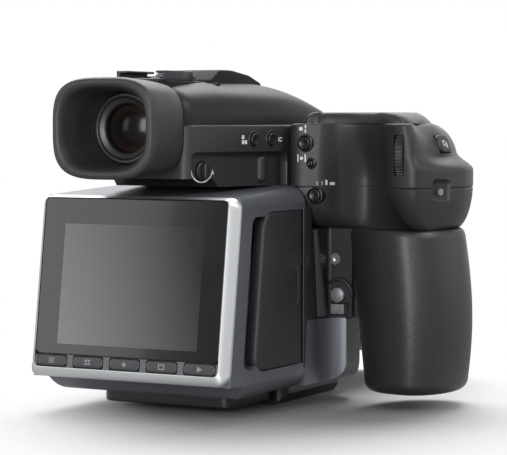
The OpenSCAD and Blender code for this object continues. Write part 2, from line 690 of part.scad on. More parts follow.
// The ridge and the palm swell end in round bottoms; the right shoulder and the front corner slope in
// towards the top.
function pod_ctrl(h) =
  let (ridge = dome((15 - h) / 15), swell = dome((19 - h) / 19.2))
  let (lean = 7.5 * ease(23, 30, h) + 13 * pow(clamp01((min(h, pod_h) - 29) / 15), 2))
  let (u = clamp01((min(h, pod_h) - 29) / 12), nose = 6.5 * (0.3 * u + 0.7 * pow(u, 6)))
  [for (i = [0 : 14])
    let (p = pod_low[i] + (i < 4 || i > 13 ? ridge : swell) * (pod_full[i] - pod_low[i]))
    [p.x - lean * ease(38, 60, p.x) - nose * pow(clamp01(p.y / 28), 2.6) * ease(16, 46, p.x), p.y]];
function pod_ring(h, inset, k, cut = 0) =
  [for (p = closed_spline(pod_ctrl(h), k))
    let (q = [34, 2] + (p - [34, 2]) * (1 - inset / 28), x = q.x - cut * ease(24, 45, q.x))
    [gx + seat + flat_below(inset, x) * grip_k, q.y, pod_z0 + h]];

module grip_shell() color([0.1, 0.1, 0.11]) difference() {
  loft([for (h = [0, 0.6, 1.6, 3, 5, 7.5, 10.5, 14, 18, 22, 24, 26, 28, 30, 33, 37, 40.3, 41])
    pod_ring(h * pod_h / 41, h == 41 ? 0.7 : 0, 4)], hub = pod_hub);
  for (i = [0 : 2])
    thumb_at(i) rod_y(thumb_r(i) + play, -5, 3.4 + press);
  translate(rear_wheel_at) rotate([0, 0, wheel_turn]) wheel_well();
  translate(front_wheel_at) rotate([0, 0, 180]) wheel_well();
  drive_at() translate([-3.6 - play, -4.5 - play, -3.2 - press]) cube([7.2 + 2 * play, 9 + 2 * play, 12]);
  lug_right_at() translate([-3.4, -4.2, -4.2]) cube([9, 8.4, 8.4]);
  translate([release_at.x, release_at.y, pod_z1 - 5]) cylinder(r = 3.4, h = 6);
}

function thumb_p(i) = [[3.2, -20.6, 33.4], [5.5, -20.7, 25.6], [7, -20.4, 13.2]][i];
module thumb_at(i)
  translate([gx + thumb_p(i).x * grip_k, thumb_p(i).y, pod_z0 + thumb_p(i).z * pod_h / 41]) children();

function thumb_r(i) = i == 1 ? 1.2 : thumb_d / 2;

module focus_key() color([0.14, 0.14, 0.15]) thumb_at(0) rod_y(thumb_r(0), -0.9, 3);
module user_key() color([0.14, 0.14, 0.15]) thumb_at(1) rod_y(thumb_r(1), -0.9, 3);
module lock_key() color([0.14, 0.14, 0.15]) thumb_at(2) rod_y(thumb_r(2), -0.9, 3);

module grip_top() color([0.07, 0.07, 0.08]) difference() {
  loft([pod_ring(pod_h + seat, 1.6, 3), pod_ring(pod_h + 2.2, 1.9, 3, 1), pod_ring(pod_h + 3.7, 3, 3, 3.6),
    pod_ring(pod_h + 4.4, 4.6, 3, 7)], hub = pod_hub);
  translate([gx + 24 * grip_k - 9, -1.4, pod_z1 + 3.2]) cube([18, 10.4, 4]);
  translate([release_at.x, release_at.y, pod_z1 - 1]) cylinder(r = release_d / 2 + play, h = 10);
  for (y = [-10.3, -2.2])
    translate([gx + 10.4 * grip_k, y, pod_z1 - 1]) cylinder(r = 2.6 + play, h = 8);
}

module top_display() color([0.16, 0.17, 0.18]) {
  translate([gx + 24 * grip_k - 9 + seat, -1.4 + seat, pod_z1 + 3.2 + seat])
    cube([18 - 2 * seat, 10.4 - 2 * seat, 1]);
}

module shutter_release() color([0.14, 0.14, 0.15]) translate([release_at.x, release_at.y, pod_z1]) {
  translate([0, 0, 1.8]) cylinder(d = release_d, h = 2.2);
  translate([0, 0, -2]) cylinder(r = 3, h = 5);
}

module top_key(y) color([0.14, 0.14, 0.15]) translate([gx + 10.4 * grip_k, y, pod_z1 + 0.6 + press])
  cylinder(r = 2.6, h = 3.6 - press);
module power_key() top_key(-10.3);
module menu_key() top_key(-2.2);

module drive_at() translate([gx + 51 * grip_k, 1.5, pod_z1 - 8]) rotate([0, 65, -3]) children();

module drive_key() color([0.14, 0.14, 0.15]) drive_at() translate([-3.6, -4.5, -2.6]) cube([7.2, 9, 3.8]);

module wheel_well() {
  rod_x(wheel_r + 0.35, -wheel_w / 2 - 0.3, wheel_w / 2 + 0.3);
  rod_x(1.5 + fit, -wheel_w / 2 - 1.7, wheel_w / 2 + 1.7);
  translate([-wheel_w / 2 - 0.3, -wheel_r - 9, -7.7]) cube([wheel_w + 0.6, 11.5, 15.4]);
}

module scroll_wheel() color([0.16, 0.16, 0.17]) {
  rotate([0, 90, 0]) linear_extrude(wheel_w, center = true)
    polygon([for (i = [0 : 79]) (wheel_r - (i % 2) * 0.5) * [cos(i * 4.5), sin(i * 4.5)]]);
  rod_x(1.5, -wheel_w / 2 - 1.5, wheel_w / 2 + 1.5);
}
module front_wheel() translate(front_wheel_at) scroll_wheel();
module rear_wheel() translate(rear_wheel_at) rotate([0, 0, wheel_turn]) scroll_wheel();

// Battery grip: one closed outline, wider a third of the way up and drawn in at its foot.
battery_ctrl = [[2.2, -12], [10, -18.4], [20.4, -20.8], [30, -20.5], [38, -14], [42, -3], [41.6, 9],
  [35.8, 19], [26, 24], [15.4, 22], [6, 14], [1.4, 1]];
function battery_ring(z, top, k) =
  let (t = z / top, swell = 3 * sin(180 * clamp01((t - 0.02) / 0.96)), low = 1 - t)
  let (foot = 4.6 * (1 - dome((foot_z + 4 - z) / 4.1)))
  [for (p = closed_spline(battery_ctrl, k))
    let (c = [20, 1.5], q = c + (p - c) * (1 - foot / 22))
    [grip_x + flat_below(0, q.x + swell * q.x / 42 + 8 * low * (1 - q.x / 42)) * grip_k,
      q.y * (1 + 0.05 * sin(180 * t)), z]];

module battery_grip() color([0.09, 0.09, 0.1]) {
  top = pod_z0 - 2 * seat;
  loft([for (h = [0, 0.3, 0.8, 1.6, 2.8, 4.2, 8, 13, 19, 27, 36, 46, 56, top - foot_z])
    battery_ring(foot_z + h, top, 4)]);
}

// Lens

module lens_barrel() color([0.07, 0.07, 0.08]) on_axis() rotate_extrude($fn = 96)
  polygon([[20.2, seat], [tube_r - 0.5, seat], [tube_r - 0.5, 3], [tube_r + 2.6, 5], [tube_r + 3.6, 21],
    [tube_r + 3.6, ring_z0 - 0.4], [tube_r, ring_z0 - 0.4], [tube_r, ring_z1 + 0.3], [29, ring_z1 + 0.3],
    [29, 34], [27, 34], [27, 30.6], [29, 30.6], [29, 14], [20.2, 12]]);

module focus_ring() color([0.09, 0.09, 0.09]) on_axis() {
  r = lens_d / 2;
  difference() {
    union() {
      translate([0, 0, ring_z0]) cylinder(r = r - 0.9, h = ring_z1 - ring_z0, $fn = 96);
      translate([0, 0, ring_z0 + 3]) linear_extrude(ring_z1 - ring_z0 - 6)
        polygon([for (i = [0 : ribs * 4 - 1])
          let (a = 90 * (i + (i % 4 == 1 || i % 4 == 3 ? -0.35 : 0)) / ribs)
          (i % 4 < 2 ? r : r - 0.8) * [cos(a), sin(a)]]);
    }
    translate([0, 0, ring_z0 - 1]) cylinder(r = tube_r + fit, h = ring_z1 - ring_z0 + 2, $fn = 96);
  }
}

module filter_ring() color([0.06, 0.06, 0.07]) on_axis() {
  z = ring_z1 + 0.4;
  r = lens_d / 2 - 0.6;
  rotate_extrude($fn = 96)
    polygon([[28.9, z], [r, z], [r, lens_l - 2], [r - 1.4, lens_l], [filter_d / 2, lens_l],
      [filter_d / 2, lens_l - 5], [29.6, z + 6], [28.9, z + 6]]);
}

module front_element() color([0.3, 0.25, 0.4]) on_axis()
  translate([0, 0, ring_z1 + 1]) glass_disc(28.8, 3, 1.5, 3.5);
module rear_element() color([0.3, 0.3, 0.4]) on_axis() translate([0, 0, 4]) glass_disc(20.1, 3, 1.5, 1.5);

module leaf_shutter() color([0.2, 0.2, 0.2]) on_axis() difference() {
  translate([0, 0, 34 + seat]) cylinder(r = 28.9, h = 2);
  translate([0, 0, 33]) cylinder(r = 13, h = 5, $fn = 5);
}

body_shell();
side_fairing();
base_plate();
lens_mount();
left_cover();
strap_lugs();
body_screws();
focusing_screen();
reflex_mirror();
back_release();
lock_slide();
lens_release();
mirror_button();
back_housing();
back_frame();
screen_glass();
display_panel();
button_bar();
screen_key_1();
screen_key_2();
screen_key_3();
screen_key_4();
screen_key_5();
card_door();
card_slots();
image_sensor();
sensor_filter();
main_board();
back_foot();
finder_base();
finder_cover();
prism();
eyepiece_barrel();
eyepiece_lens();
eyecup();
accessory_shoe();
flash_head();
flash_catch();
finder_key_rear();
finder_key_front();
dioptre_dial();
grip_shell();
grip_top();
top_display();
battery_grip();
shutter_release();
front_wheel();
rear_wheel();
focus_key();
user_key();
lock_key();
drive_key();
power_key();
menu_key();
lens_barrel();
focus_ring();
filter_ring();
front_element();
rear_element();
leaf_shutter();
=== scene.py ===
import json
import math

import bpy
import numpy as np
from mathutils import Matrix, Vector


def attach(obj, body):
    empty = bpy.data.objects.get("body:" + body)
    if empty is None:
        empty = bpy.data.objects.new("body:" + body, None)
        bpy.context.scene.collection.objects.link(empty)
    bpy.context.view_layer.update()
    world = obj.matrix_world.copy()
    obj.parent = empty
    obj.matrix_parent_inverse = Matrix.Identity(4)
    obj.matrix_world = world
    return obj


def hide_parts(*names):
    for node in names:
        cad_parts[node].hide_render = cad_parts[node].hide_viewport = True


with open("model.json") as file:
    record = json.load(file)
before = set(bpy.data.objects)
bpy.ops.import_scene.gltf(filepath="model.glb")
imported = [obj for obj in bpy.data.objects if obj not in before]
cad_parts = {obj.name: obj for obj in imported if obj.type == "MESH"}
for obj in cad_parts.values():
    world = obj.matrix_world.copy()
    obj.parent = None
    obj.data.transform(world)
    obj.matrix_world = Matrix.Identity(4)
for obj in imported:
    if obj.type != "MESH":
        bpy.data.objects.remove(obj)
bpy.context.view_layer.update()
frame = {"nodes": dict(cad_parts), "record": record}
nodes = frame["nodes"]
mm = 0.001
print("frame loaded:", len(nodes), "solids")


# a screen colour such as #6b7078 in the linear light that shaders work in
def linear(code):
    c = np.array([int(code[i:i + 2], 16) for i in (1, 3, 5)]) / 255
    c = np.where(c <= 0.04045, c / 12.92, ((c + 0.055) / 1.055) ** 2.4)
    return (*c.tolist(), 1.0)


# adds a node with its settings; a socket that is given another node's output is linked, any other gets the value
def addNode(tree, kind, sockets=(), **settings):
    made = tree.nodes.new("ShaderNode" + kind)
    for key, value in settings.items():
        setattr(made, key, value)
    for key, value in dict(sockets).items():
        if isinstance(value, bpy.types.NodeSocket):
            tree.links.new(value, made.inputs[key])
        else:
            made.inputs[key].default_value = linear(value) if isinstance(value, str) else value
    return made


# smooth step from 0 at a to 1 at b
def ease(a, b, t):
    u = np.clip((t - a) / (b - a), 0, 1)
    return u * u * (3 - 2 * u)


# a power that keeps the sign
def signPower(c, e):
    return np.sign(c) * np.abs(c) ** e


# quarter circle height: 1 at t = 0, falling to 0 at t = 1
def dome(t):
    return np.sqrt(np.maximum(0, 1 - np.clip(t, 0, 1) ** 2))


# presses a curve almost flat where it passes below a
def flatBelow(a, t):
    return np.where(t < a, a + (t - a) * 0.04, t)


# angles of n points round a circle
def roundTurn(n):
    return np.linspace(0, 2 * np.pi, n, endpoint=False)


# closed Catmull-Rom curve through points on the last but one axis, k steps to a span
def closedCurve(points, k=14):
    t = (np.arange(k) / k)[:, None]
    a, b, c, d = (np.roll(points, s, -2)[..., :, None, :] for s in (1, 0, -1, -2))
    made = 0.5 * (2 * b + (c - a) * t + (2 * a - 5 * b + 4 * c - d) * t ** 2 + (3 * b - a - 3 * c + d) * t ** 3)
    return made.reshape(*points.shape[:-2], -1, points.shape[-1])


# a polyline whose corners become quadratic curves that start and end r before and after the corner
def eased(points, r, k, loop=False):
    p = np.asarray(points, float)
    back, ahead = np.roll(p, 1, 0) - p, np.roll(p, -1, 0) - p
    lb, la = (np.linalg.norm(v, axis=1, keepdims=True) for v in (back, ahead))
    a, c = p + back / lb * np.minimum(r, lb * 0.48), p + ahead / la * np.minimum(r, la * 0.48)
    t = np.linspace(0, 1, k)[None, :, None]
    curve = (1 - t) ** 2 * a[:, None] + 2 * t * (1 - t) * p[:, None] + t ** 2 * c[:, None]
    if loop:
        return curve.reshape(-1, p.shape[1])
    return np.concatenate([p[:1], curve[1:-1].reshape(-1, p.shape[1]), p[-1:]])


# rounded rectangle: a quarter circle of radius r in each corner of a w by h box, n points to a corner
def roundBox(w, h, r, n):
    t = np.linspace(0, np.pi / 2, n)[None] + np.arange(4)[:, None] * np.pi / 2
    cx = np.array([1, -1, -1, 1])[:, None] * (w / 2 - r)
    cy = np.array([1, 1, -1, -1])[:, None] * (h / 2 - r)
    return np.stack([cx + r * np.cos(t), cy + r * np.sin(t)], -1).reshape(-1, 2)


# three arrays as the x, y and z of one grid of points
def surface(x, y, z):
    return np.stack(np.broadcast_arrays(x, y, z), -1)


# rows of flat outlines, each raised to its own height
def raised(flat, height):
    return surface(flat[..., 0], flat[..., 1], height[:, None])


# plate: an outline carried through rows of (inset, height), each inset taken along the outline's own normals
def plate(outline, rows):
    tangent = np.roll(outline, -1, 0) - np.roll(outline, 1, 0)
    normal = np.stack([tangent[:, 1], -tangent[:, 0]], -1)
    normal = normal / np.linalg.norm(normal, axis=1, keepdims=True)
    inset, height = np.asarray(rows, float).T
    return raised(outline[None] - inset[:, None, None] * normal[None], height)


# rows of a plate from low to high with a quarter round of radius r on the top edge, and one of radius s below
def softRows(low, high, r, s=0.0, k=5):
    t = np.linspace(0, np.pi / 2, k)
    upper = np.stack([r * (1 - np.cos(t)), high - r + r * np.sin(t)], -1)
    foot = np.stack([s * (1 - np.sin(t)), low + s * (1 - np.cos(t))], -1) if s else np.array([[0, low]])
    return np.concatenate([foot, upper])


# turned piece: a profile of (radius, height) carried round the height axis
def turned(profile, n):
    t = roundTurn(n)
    r, h = np.asarray(profile, float).T[..., None]
    return surface(r * np.cos(t), r * np.sin(t), h)


# band between two outlines with equal point counts: each row is a share of the way across and a height
def band(outer, inner, profile):
    blend, height = np.asarray(profile, float).T
    return raised(outer[None] * (1 - blend[:, None, None]) + inner[None] * blend[:, None, None], height)


# local (a, b, c) lands at the spot's origin + a right + b up + c out
def placed(points, spot, at=(0, 0, 0)):
    turn = np.array([spot["right"], spot["up"], spot["out"]], float)
    return np.array(spot["at"], float) + (np.asarray(points) + np.array(at, float)) @ turn


# a spot turned like another one, a to its right and b up from it
def moved(spot, a, b):
    return {**spot, "at": placed((a, b, 0), spot)}


# grids of points (rows, columns, 3) in mm as one closed mesh: quads wrapped round the columns, the rows wrapped too or
# ended by flat faces; faces are turned so that each grid's volume is positive
def skin(name, grids, loop=False, sharp=36):
    corners, starts, places, base, filled = [], [], [], 0, 0
    for grid in (grids if isinstance(grids, list) else [grids]):
        rows, cols = grid.shape[:2]
        points = grid.reshape(-1, 3)
        r, c = np.meshgrid(np.arange(rows if loop else rows - 1), np.arange(cols), indexing="ij")
        nr, nc = (r + 1) % rows, (c + 1) % cols
        quads = np.stack([r * cols + c, r * cols + nc, nr * cols + nc, nr * cols + c], -1).reshape(-1, 4)
        ends = [] if loop else [np.arange(cols)[::-1], np.arange(cols) + (rows - 1) * cols]
        mid = points - points.mean(0)
        fans = [np.stack([np.broadcast_to(f[:1], (cols - 2,)), f[1:-1], f[2:]], -1) for f in ends]
        tris = np.concatenate([quads[:, [0, 1, 2]], quads[:, [0, 2, 3]], *fans])
        if np.einsum("ij,ij->", mid[tris[:, 0]], np.cross(mid[tris[:, 1]], mid[tris[:, 2]])) < 0:
            quads, ends = quads[:, ::-1], [f[::-1] for f in ends]
        corners += [quads.ravel() + base] + [f + base for f in ends]
        starts += [filled + np.arange(len(quads)) * 4, filled + len(quads) * 4 + np.arange(len(ends)) * cols]
        places.append(points)
        base, filled = base + len(points), filled + len(quads) * 4 + len(ends) * cols
    corners, starts = (np.concatenate(v).astype(np.int32) for v in (corners, starts))
    mesh = bpy.data.meshes.new(name)
    mesh.vertices.add(base)
    mesh.vertices.foreach_set("co", (np.concatenate(places) * mm).astype(np.float32).ravel())
    mesh.loops.add(len(corners))
    mesh.loops.foreach_set("vertex_index", corners)
    mesh.polygons.add(len(starts))
    mesh.polygons.foreach_set("loop_start", starts)
    mesh.update(calc_edges=True)
    mesh.validate()
    mesh.shade_smooth()
    mesh.set_sharp_from_angle(angle=math.radians(sharp))
    made = bpy.data.objects.new(name, mesh)
    bpy.context.scene.collection.objects.link(made)
    return made


# live rounding of sharp edges: joins the corners, clears flat faces, rounds every edge sharper than 35 degrees
def roundEdges(piece, width):
    join = piece.modifiers.new("join", "WELD")
    join.merge_threshold = 0.000002
    clearFlat = piece.modifiers.new("clearFlat", "DECIMATE")
    clearFlat.decimate_type, clearFlat.angle_limit = "DISSOLVE", math.radians(1)
    soften = piece.modifiers.new("soften", "BEVEL")
    soften.width, soften.segments = width * mm, 2
    soften.limit_method, soften.angle_limit = "ANGLE", math.radians(35)
    soften.use_clamp_overlap = True
    piece.modifiers.new("even", "WEIGHTED_NORMAL").weight = 90


# cuts closed shapes out of a piece and keeps what is left as its mesh
def carve(piece, cutters, sharp):
    for cutter in cutters:
        cut = piece.modifiers.new("cut", "BOOLEAN")
        cut.operation, cut.solver, cut.object = "DIFFERENCE", "EXACT", cutter
    bpy.context.view_layer.update()
    left = bpy.data.meshes.new_from_object(piece.evaluated_get(bpy.context.evaluated_depsgraph_get()))
    piece.modifiers.clear()
    whole, piece.data = piece.data, left
    left.name = piece.name
    bpy.data.meshes.remove(whole)
    left.shade_smooth()
    left.set_sharp_from_angle(angle=math.radians(sharp))
    for cutter in cutters:
        bpy.data.objects.remove(cutter)


# gives a piece its finish and the body it moves with, and hides the solids that it stands for; slotName, the record's
# slot, is not used
def dress(piece, body, finish, slotName, *stoodFor):
    piece.data.materials.clear()
    piece.data.materials.append(finishes[finish])
    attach(piece, body)
    if stoodFor:
        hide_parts(*stoodFor)


# a new piece of one grid or several, dressed
def add(name, grids, body, finish, slotName, *stoodFor, loop=False, sharp=36):
    dress(skin(name, grids, loop, sharp), body, finish, slotName, *stoodFor)


# box cutter between two corners of a spot, with rounded upright edges
def boxCut(spot, low, high, r):
    low, high = np.array(low, float), np.array(high, float)
    size, mid = high - low, (high + low) / 2
    outline = roundBox(size[0], size[1], r, 5) + mid[:2]
    return skin("cutter", placed(plate(outline, [(0, low[2]), (0, high[2])]), spot))


# round cutter of radius r at (a, b) from c0 to c1
def roundCut(spot, r, a, b, c0, c1, n=48):
    return skin("cutter", placed(turned([(r, c0), (r, c1)], n), spot, (a, b, 0)))


# round key: a turned profile with a rounded rim and a shallow dish in its face
def roundKey(spot, r, low, high, dish=0.3):
    t, rimR = np.linspace(0, np.pi / 2, 5), 0.45
    rim = np.stack([r - rimR + rimR * np.cos(t), high - rimR + rimR * np.sin(t)], -1)
    face = np.linspace(0.95, 0.06, 9)
    bowl = np.stack([face * (r - rimR - 0.1), high - dish * (1 - face ** 2)], -1)
    return placed(turned(np.concatenate([[(r, low)], rim, bowl]), 56), spot)


# flat printed marks: each outline becomes a thin plate that stands 0.05 mm proud at height c
def marks(name, outlines, spot, c, finish="whiteInk", body="camera", at=(0, 0), slotName="silver"):
    rows = [(0, -0.3), (0, 0.05)]
    add(name, [placed(plate(o, rows), spot, (*at, c)) for o in outlines], body, finish, slotName)


# upright bars of a mark, each w by h round (a, b)
def bars(*rows):
    corners = np.array([[-0.5, -0.5], [0.5, -0.5], [0.5, 0.5], [-0.5, 0.5]])
    return [np.array(row[:2]) + corners * row[2:] for row in rows]


# arc of a mark from angle t0 to t1, as a closed outline between two radii
def arcMark(r0, r1, t0, t1):
    t = np.radians(np.linspace(t0, t1, 24))
    outerLine = np.stack([r1 * np.cos(t), r1 * np.sin(t)], -1)
    return np.concatenate([outerLine, (outerLine * r0 / r1)[::-1]])


# a spot that stands upright, its right turned by so many degrees from the camera's own right
def upright(at, degrees):
    c, s = (float(v) for v in np.round([np.cos(np.radians(degrees)), np.sin(np.radians(degrees))], 14))
    return {"at": at, "right": (c, s, 0), "up": (0, 0, 1), "out": (s, -c, 0)}


# places on the camera, in mm, each with its own right, up and out
lean = math.radians(8)
flank = math.atan2(13.5, 78)
flankTurn = 90 - math.degrees(flank)
tipCos, tipSin = math.cos(math.radians(65)), math.sin(math.radians(65))
driveCos, driveSin = math.cos(math.radians(-3)), math.sin(math.radians(-3))
spots = {
    "back": upright((0, 0, 0), 0), "right": upright((0, 0, 0), 90), "lug": upright((95.3, -13, 84), 67),
    "rear_wheel": upright((80.4, -17.9, 98), 18), "front_wheel": upright((74, 22, 96), 180),
    "shoe": {"at": (0, -76, 126.2), "right": (1, 0, 0), "up": (0, 0, 1), "out": (0, 1, 0)},
    "drive": {"at": (89, 1.5, 102), "right": (-driveSin, driveCos, 0),
              "up": (-tipCos * driveCos, -tipCos * driveSin, tipSin),
              "out": (tipSin * driveCos, tipSin * driveSin, tipCos)}}
side, farSide = upright((21.5, -82, 0), flankTurn), upright((-21.5, -82, 0), -flankTurn)
lens = upright((0, 31, 49), 180)
top = {"at": (0, 0, 0), "right": (1, 0, 0), "up": (0, 1, 0), "out": (0, 0, 1)}
rear = {"at": (0, -85, 49), "right": (1, 0, 0), "up": (0, math.sin(lean), math.cos(lean)),
        "out": (0, -math.cos(lean), math.sin(lean))}


finishes = {}


# an empty material with one shader, kept under its name; gives its tree, the shader and the object coordinates
def newFinish(name, sockets):
    made = bpy.data.materials.new(name)
    made.use_nodes = True
    tree = made.node_tree
    tree.nodes.clear()
    shader = addNode(tree, "BsdfPrincipled", sockets)
    addNode(tree, "OutputMaterial", {"Surface": shader.outputs["BSDF"]})
    finishes[name] = made
    return tree, shader, addNode(tree, "TexCoord").outputs["Object"]


# lets a pattern drive a shader: its colour between two tones, its roughness between two values, a bump of so many mm
def follow(shader, pattern, tones=None, dull=None, bump=None):
    tree = shader.id_data
    if tones:
        tint = addNode(tree, "Mix", {"Factor": pattern, "A": tones[0], "B": tones[1]}, data_type="RGBA")
        tree.links.new(tint.outputs[2], shader.inputs["Base Color"])
    if dull:
        level = addNode(tree, "MapRange", {"Value": pattern, "To Min": dull[0], "To Max": dull[1]})
        tree.links.new(level.outputs["Result"], shader.inputs["Roughness"])
    if bump:
        relief = addNode(tree, "Bump", {"Height": pattern, "Distance": bump[0] * mm, "Strength": bump[1]})
        tree.links.new(relief.outputs["Normal"], shader.inputs["Normal"])


# finishes made of layers of noise: grain is a layer's size in mm, drawn as coarse as it needs to show
layered = {
    # black ABS, moulded in a spark-eroded tool: soft sheen, a drifting tone and an even grain, really about 0.15 mm
    "mouldedAbs": [{"IOR": 1.5, "Specular IOR Level": 0.38},
                   {"grain": 0.7, "detail": 2, "dull": (0.39, 0.51), "bump": (0.05, 0.5)},
                   {"grain": 35, "detail": 3, "tones": ("#242527", "#2c2d2f")}],
    # black ABS of the finder, a darker copy of the shell's, its colour painted shade for the finder's dim sides: a
    # shallower grain and a tighter light along its crown
    "finderShadedAbs": [{"IOR": 1.5, "Specular IOR Level": 0.24},
                  {"grain": 0.7, "detail": 2, "tones": ("#151617", "#1c1d1e"), "dull": (0.4, 0.49),
                   "bump": (0.04, 0.22)}],
    # black ABS polished smooth, for keys: a tighter shine with faint smears
    "smoothAbs": [{"IOR": 1.5, "Base Color": "#17181a"}, {"grain": 9, "detail": 4, "dull": (0.28, 0.42)},
                  {"grain": 0.5, "detail": 1, "bump": (0.02, 0.3)}],
    # dark grey ABS of the screen keys: satin, a shade lighter than the shell
    "keyAbs": [{"IOR": 1.5, "Roughness": 0.4}, {"grain": 0.8, "detail": 3, "tones": ("#2c2d30", "#343539")}],
    # black ABS of the card door, lightly textured: flatter and darker than the shell
    "doorAbs": [{"IOR": 1.5}, {"grain": 0.9, "detail": 3, "tones": ("#1f2022", "#27282b"), "dull": (0.44, 0.58),
                               "bump": (0.04, 0.35)}],
    # matt black ABS of the flash lid and the shoe's seat: coarse texture that swallows highlights
    "mattAbs": [{"IOR": 1.5, "Roughness": 0.6, "Specular IOR Level": 0.14},
                {"grain": 0.8, "detail": 2, "tones": ("#131415", "#1b1c1d"), "bump": (0.06, 0.4)}],
    # mid-grey plastic of the button bar: even, satin
    "greyPlastic": [{"IOR": 1.5, "Base Color": "#55575a"}, {"grain": 0.6, "detail": 2, "dull": (0.37, 0.48)}],
    # soft black rubber of the eyecup: smooth, matt, slightly dusty
    "softRubber": [{"IOR": 1.5, "Roughness": 0.5},
                   {"grain": 4, "detail": 6, "crumbs": 0.65, "tones": ("#202022", "#2e2f31"), "bump": (0.04, 0.25)}],
    # anodised aluminium, bead-blasted: pale, even sheen with a fine frost
    "blastedAluminium": [{"Metallic": 1, "Base Color": "#c6c8ca"},
                         {"grain": 0.5, "detail": 2, "dull": (0.39, 0.52), "bump": (0.02, 0.25)}],
    # slate metallic paint, sprayed on a cast housing: satin with fine aluminium flakes
    "slatePaint": [{"IOR": 1.5, "Metallic": 0.55},
                   {"grain": 0.45, "detail": 1, "tones": ("#595c62", "#73767d"), "dull": (0.31, 0.43)}],
    # satin black paint on turned metal: lens tubes and plates
    "satinBlackMetal": [{"IOR": 1.5, "Base Color": "#161718"}, {"grain": 1.5, "detail": 3, "dull": (0.32, 0.44)}],
    # stainless steel, brushed along X: streaked sheen
    "brushedSteel": [{"Metallic": 1, "Base Color": "#b4b5b8"},
                     {"grain": 1 / 3, "detail": 3, "stretch": (0.02, 1, 1), "dull": (0.2, 0.45)}],
    # dark burnished steel of the accessory shoe, brushed along Y: nearly black, edges catch light
    "darkSteel": [{"Metallic": 0.8, "Base Color": "#3c3d40"},
                  {"grain": 1 / 2.4, "detail": 3, "stretch": (1, 1 / 30, 1), "dull": (0.28, 0.48)}],
    # satin silver of the round release and the lock tab: pale, softly lit from every side
    "satinSilver": [{"Metallic": 0.45, "Roughness": 0.42},
                    {"grain": 0.8, "detail": 3, "tones": ("#8a8b8e", "#78797c")}],
    # silvered mirror face: bright, with a trace of haze
    "silveredGlass": [{"Metallic": 1, "Base Color": "#dfe3e6"}, {"grain": 6, "detail": 2, "dull": (0.01, 0.05)}],
    # frosted acrylic of the flash window: milky, with a soft gloss on its ribs
    "frostedLens": [{"IOR": 1.49, "Roughness": 0.28}, {"grain": 2.5, "detail": 2, "tones": ("#b9bcc0", "#a3a6ab")}],
    # printed marks in off-white ink, and in grey ink for the icons on the dark keys: a little rough
    "whiteInk": [{"IOR": 1.5, "Roughness": 0.5}, {"grain": 0.4, "detail": 2, "tones": ("#b9bbbd", "#e4e5e6")}],
    "greyInk": [{"IOR": 1.5, "Roughness": 0.5}, {"grain": 0.4, "detail": 2, "tones": ("#77797c", "#8f9194")}],
}
for name, (sockets, *layers) in layered.items():
    tree, shader, place = newFinish(name, sockets)
    for layer in layers:
        where = place
        if "stretch" in layer:
            where = addNode(tree, "Mapping", {"Vector": place, "Scale": layer["stretch"]}).outputs["Vector"]
        noise = addNode(tree, "TexNoise", {
            "Vector": where, "Scale": 1000 / layer["grain"], "Detail": layer["detail"],
            "Roughness": layer.get("crumbs", 0.5)})
        follow(shader, noise.outputs["Fac"], layer.get("tones"), layer.get("dull"), layer.get("bump"))

# moulded grip rubber with a pebble grain pressed in: dull, with small lit crowns, painted a shade lighter as a painted
# highlight
# the real pebbles are about 0.6 mm, drawn at 1.1 mm so that they show
pebble = {"tones": ("#1e1f21", "#2a2b2d"), "pebbleMm": 1.1, "gritMm": 0.6, "press": -0.6, "bump": (0.12, 0.4)}
tree, shader, place = newFinish("gripRubber", {"IOR": 1.5, "Roughness": 0.43})
cells = addNode(tree, "TexVoronoi", {"Vector": place, "Scale": 1000 / pebble["pebbleMm"]}, feature="F1")
grit = addNode(tree, "TexNoise", {"Vector": place, "Scale": 1000 / pebble["gritMm"], "Detail": 2})
height = addNode(tree, "Math", {
    0: cells.outputs["Distance"], 1: pebble["press"], 2: grit.outputs["Fac"]}, operation="MULTIPLY_ADD")
# the pebble crowns are painted lighter as a painted highlight, and their bumps catch the lamps too
follow(shader, height.outputs["Value"], pebble["tones"], bump=pebble["bump"])

# the slate paint on the fairing, masked off where it turns towards the front: slate behind, bare black moulding ahead
bare = {"colour": "#1a1b1d", "edge": -0.0044, "blur": 0.0002, "metallic": 0.55}
finishes["maskedPaint"] = finishes["slatePaint"].copy()
finishes["maskedPaint"].name = "maskedPaint"
tree = finishes["maskedPaint"].node_tree
shader = tree.nodes["Principled BSDF"]
place = addNode(tree, "TexCoord").outputs["Object"]
where = addNode(tree, "SeparateXYZ", {"Vector": place})
painted = addNode(tree, "MapRange", {
    "Value": where.outputs["Y"], "From Min": bare["edge"] + bare["blur"], "From Max": bare["edge"] - bare["blur"]})
metal = addNode(tree, "Math", {0: painted.outputs["Result"], 1: bare["metallic"]}, operation="MULTIPLY")
slate = shader.inputs["Base Color"].links[0].from_socket
follow(shader, painted.outputs["Result"], (bare["colour"], slate))
tree.links.new(metal.outputs["Value"], shader.inputs["Metallic"])

# black printed border behind the cover glass: deep black under a hard gloss, its colour lightened towards the left as a
# painted reflection, with smears in its gloss
border = {"tones": ("#0a0b0c", "#242527"), "clear": 0.03, "hazy": -0.05, "smearMm": 25, "dull": (0.07, 0.18)}
tree, shader, place = newFinish("printedGlass", {
    "IOR": 1.52, "Specular IOR Level": 0.28, "Coat Weight": 0.2, "Coat Roughness": 0.04})
across = addNode(tree, "SeparateXYZ", {"Vector": place})
# painted reflection: the border's colour lightens towards the left
paintedReflectionLeft = addNode(tree, "MapRange", {
    "Value": across.outputs["X"], "From Min": border["clear"], "From Max": border["hazy"]},
    interpolation_type="SMOOTHSTEP")
smear = addNode(tree, "TexNoise", {"Vector": place, "Scale": 1000 / border["smearMm"], "Detail": 3})
follow(shader, paintedReflectionLeft.outputs["Result"], border["tones"])
follow(shader, smear.outputs["Fac"], dull=border["dull"])
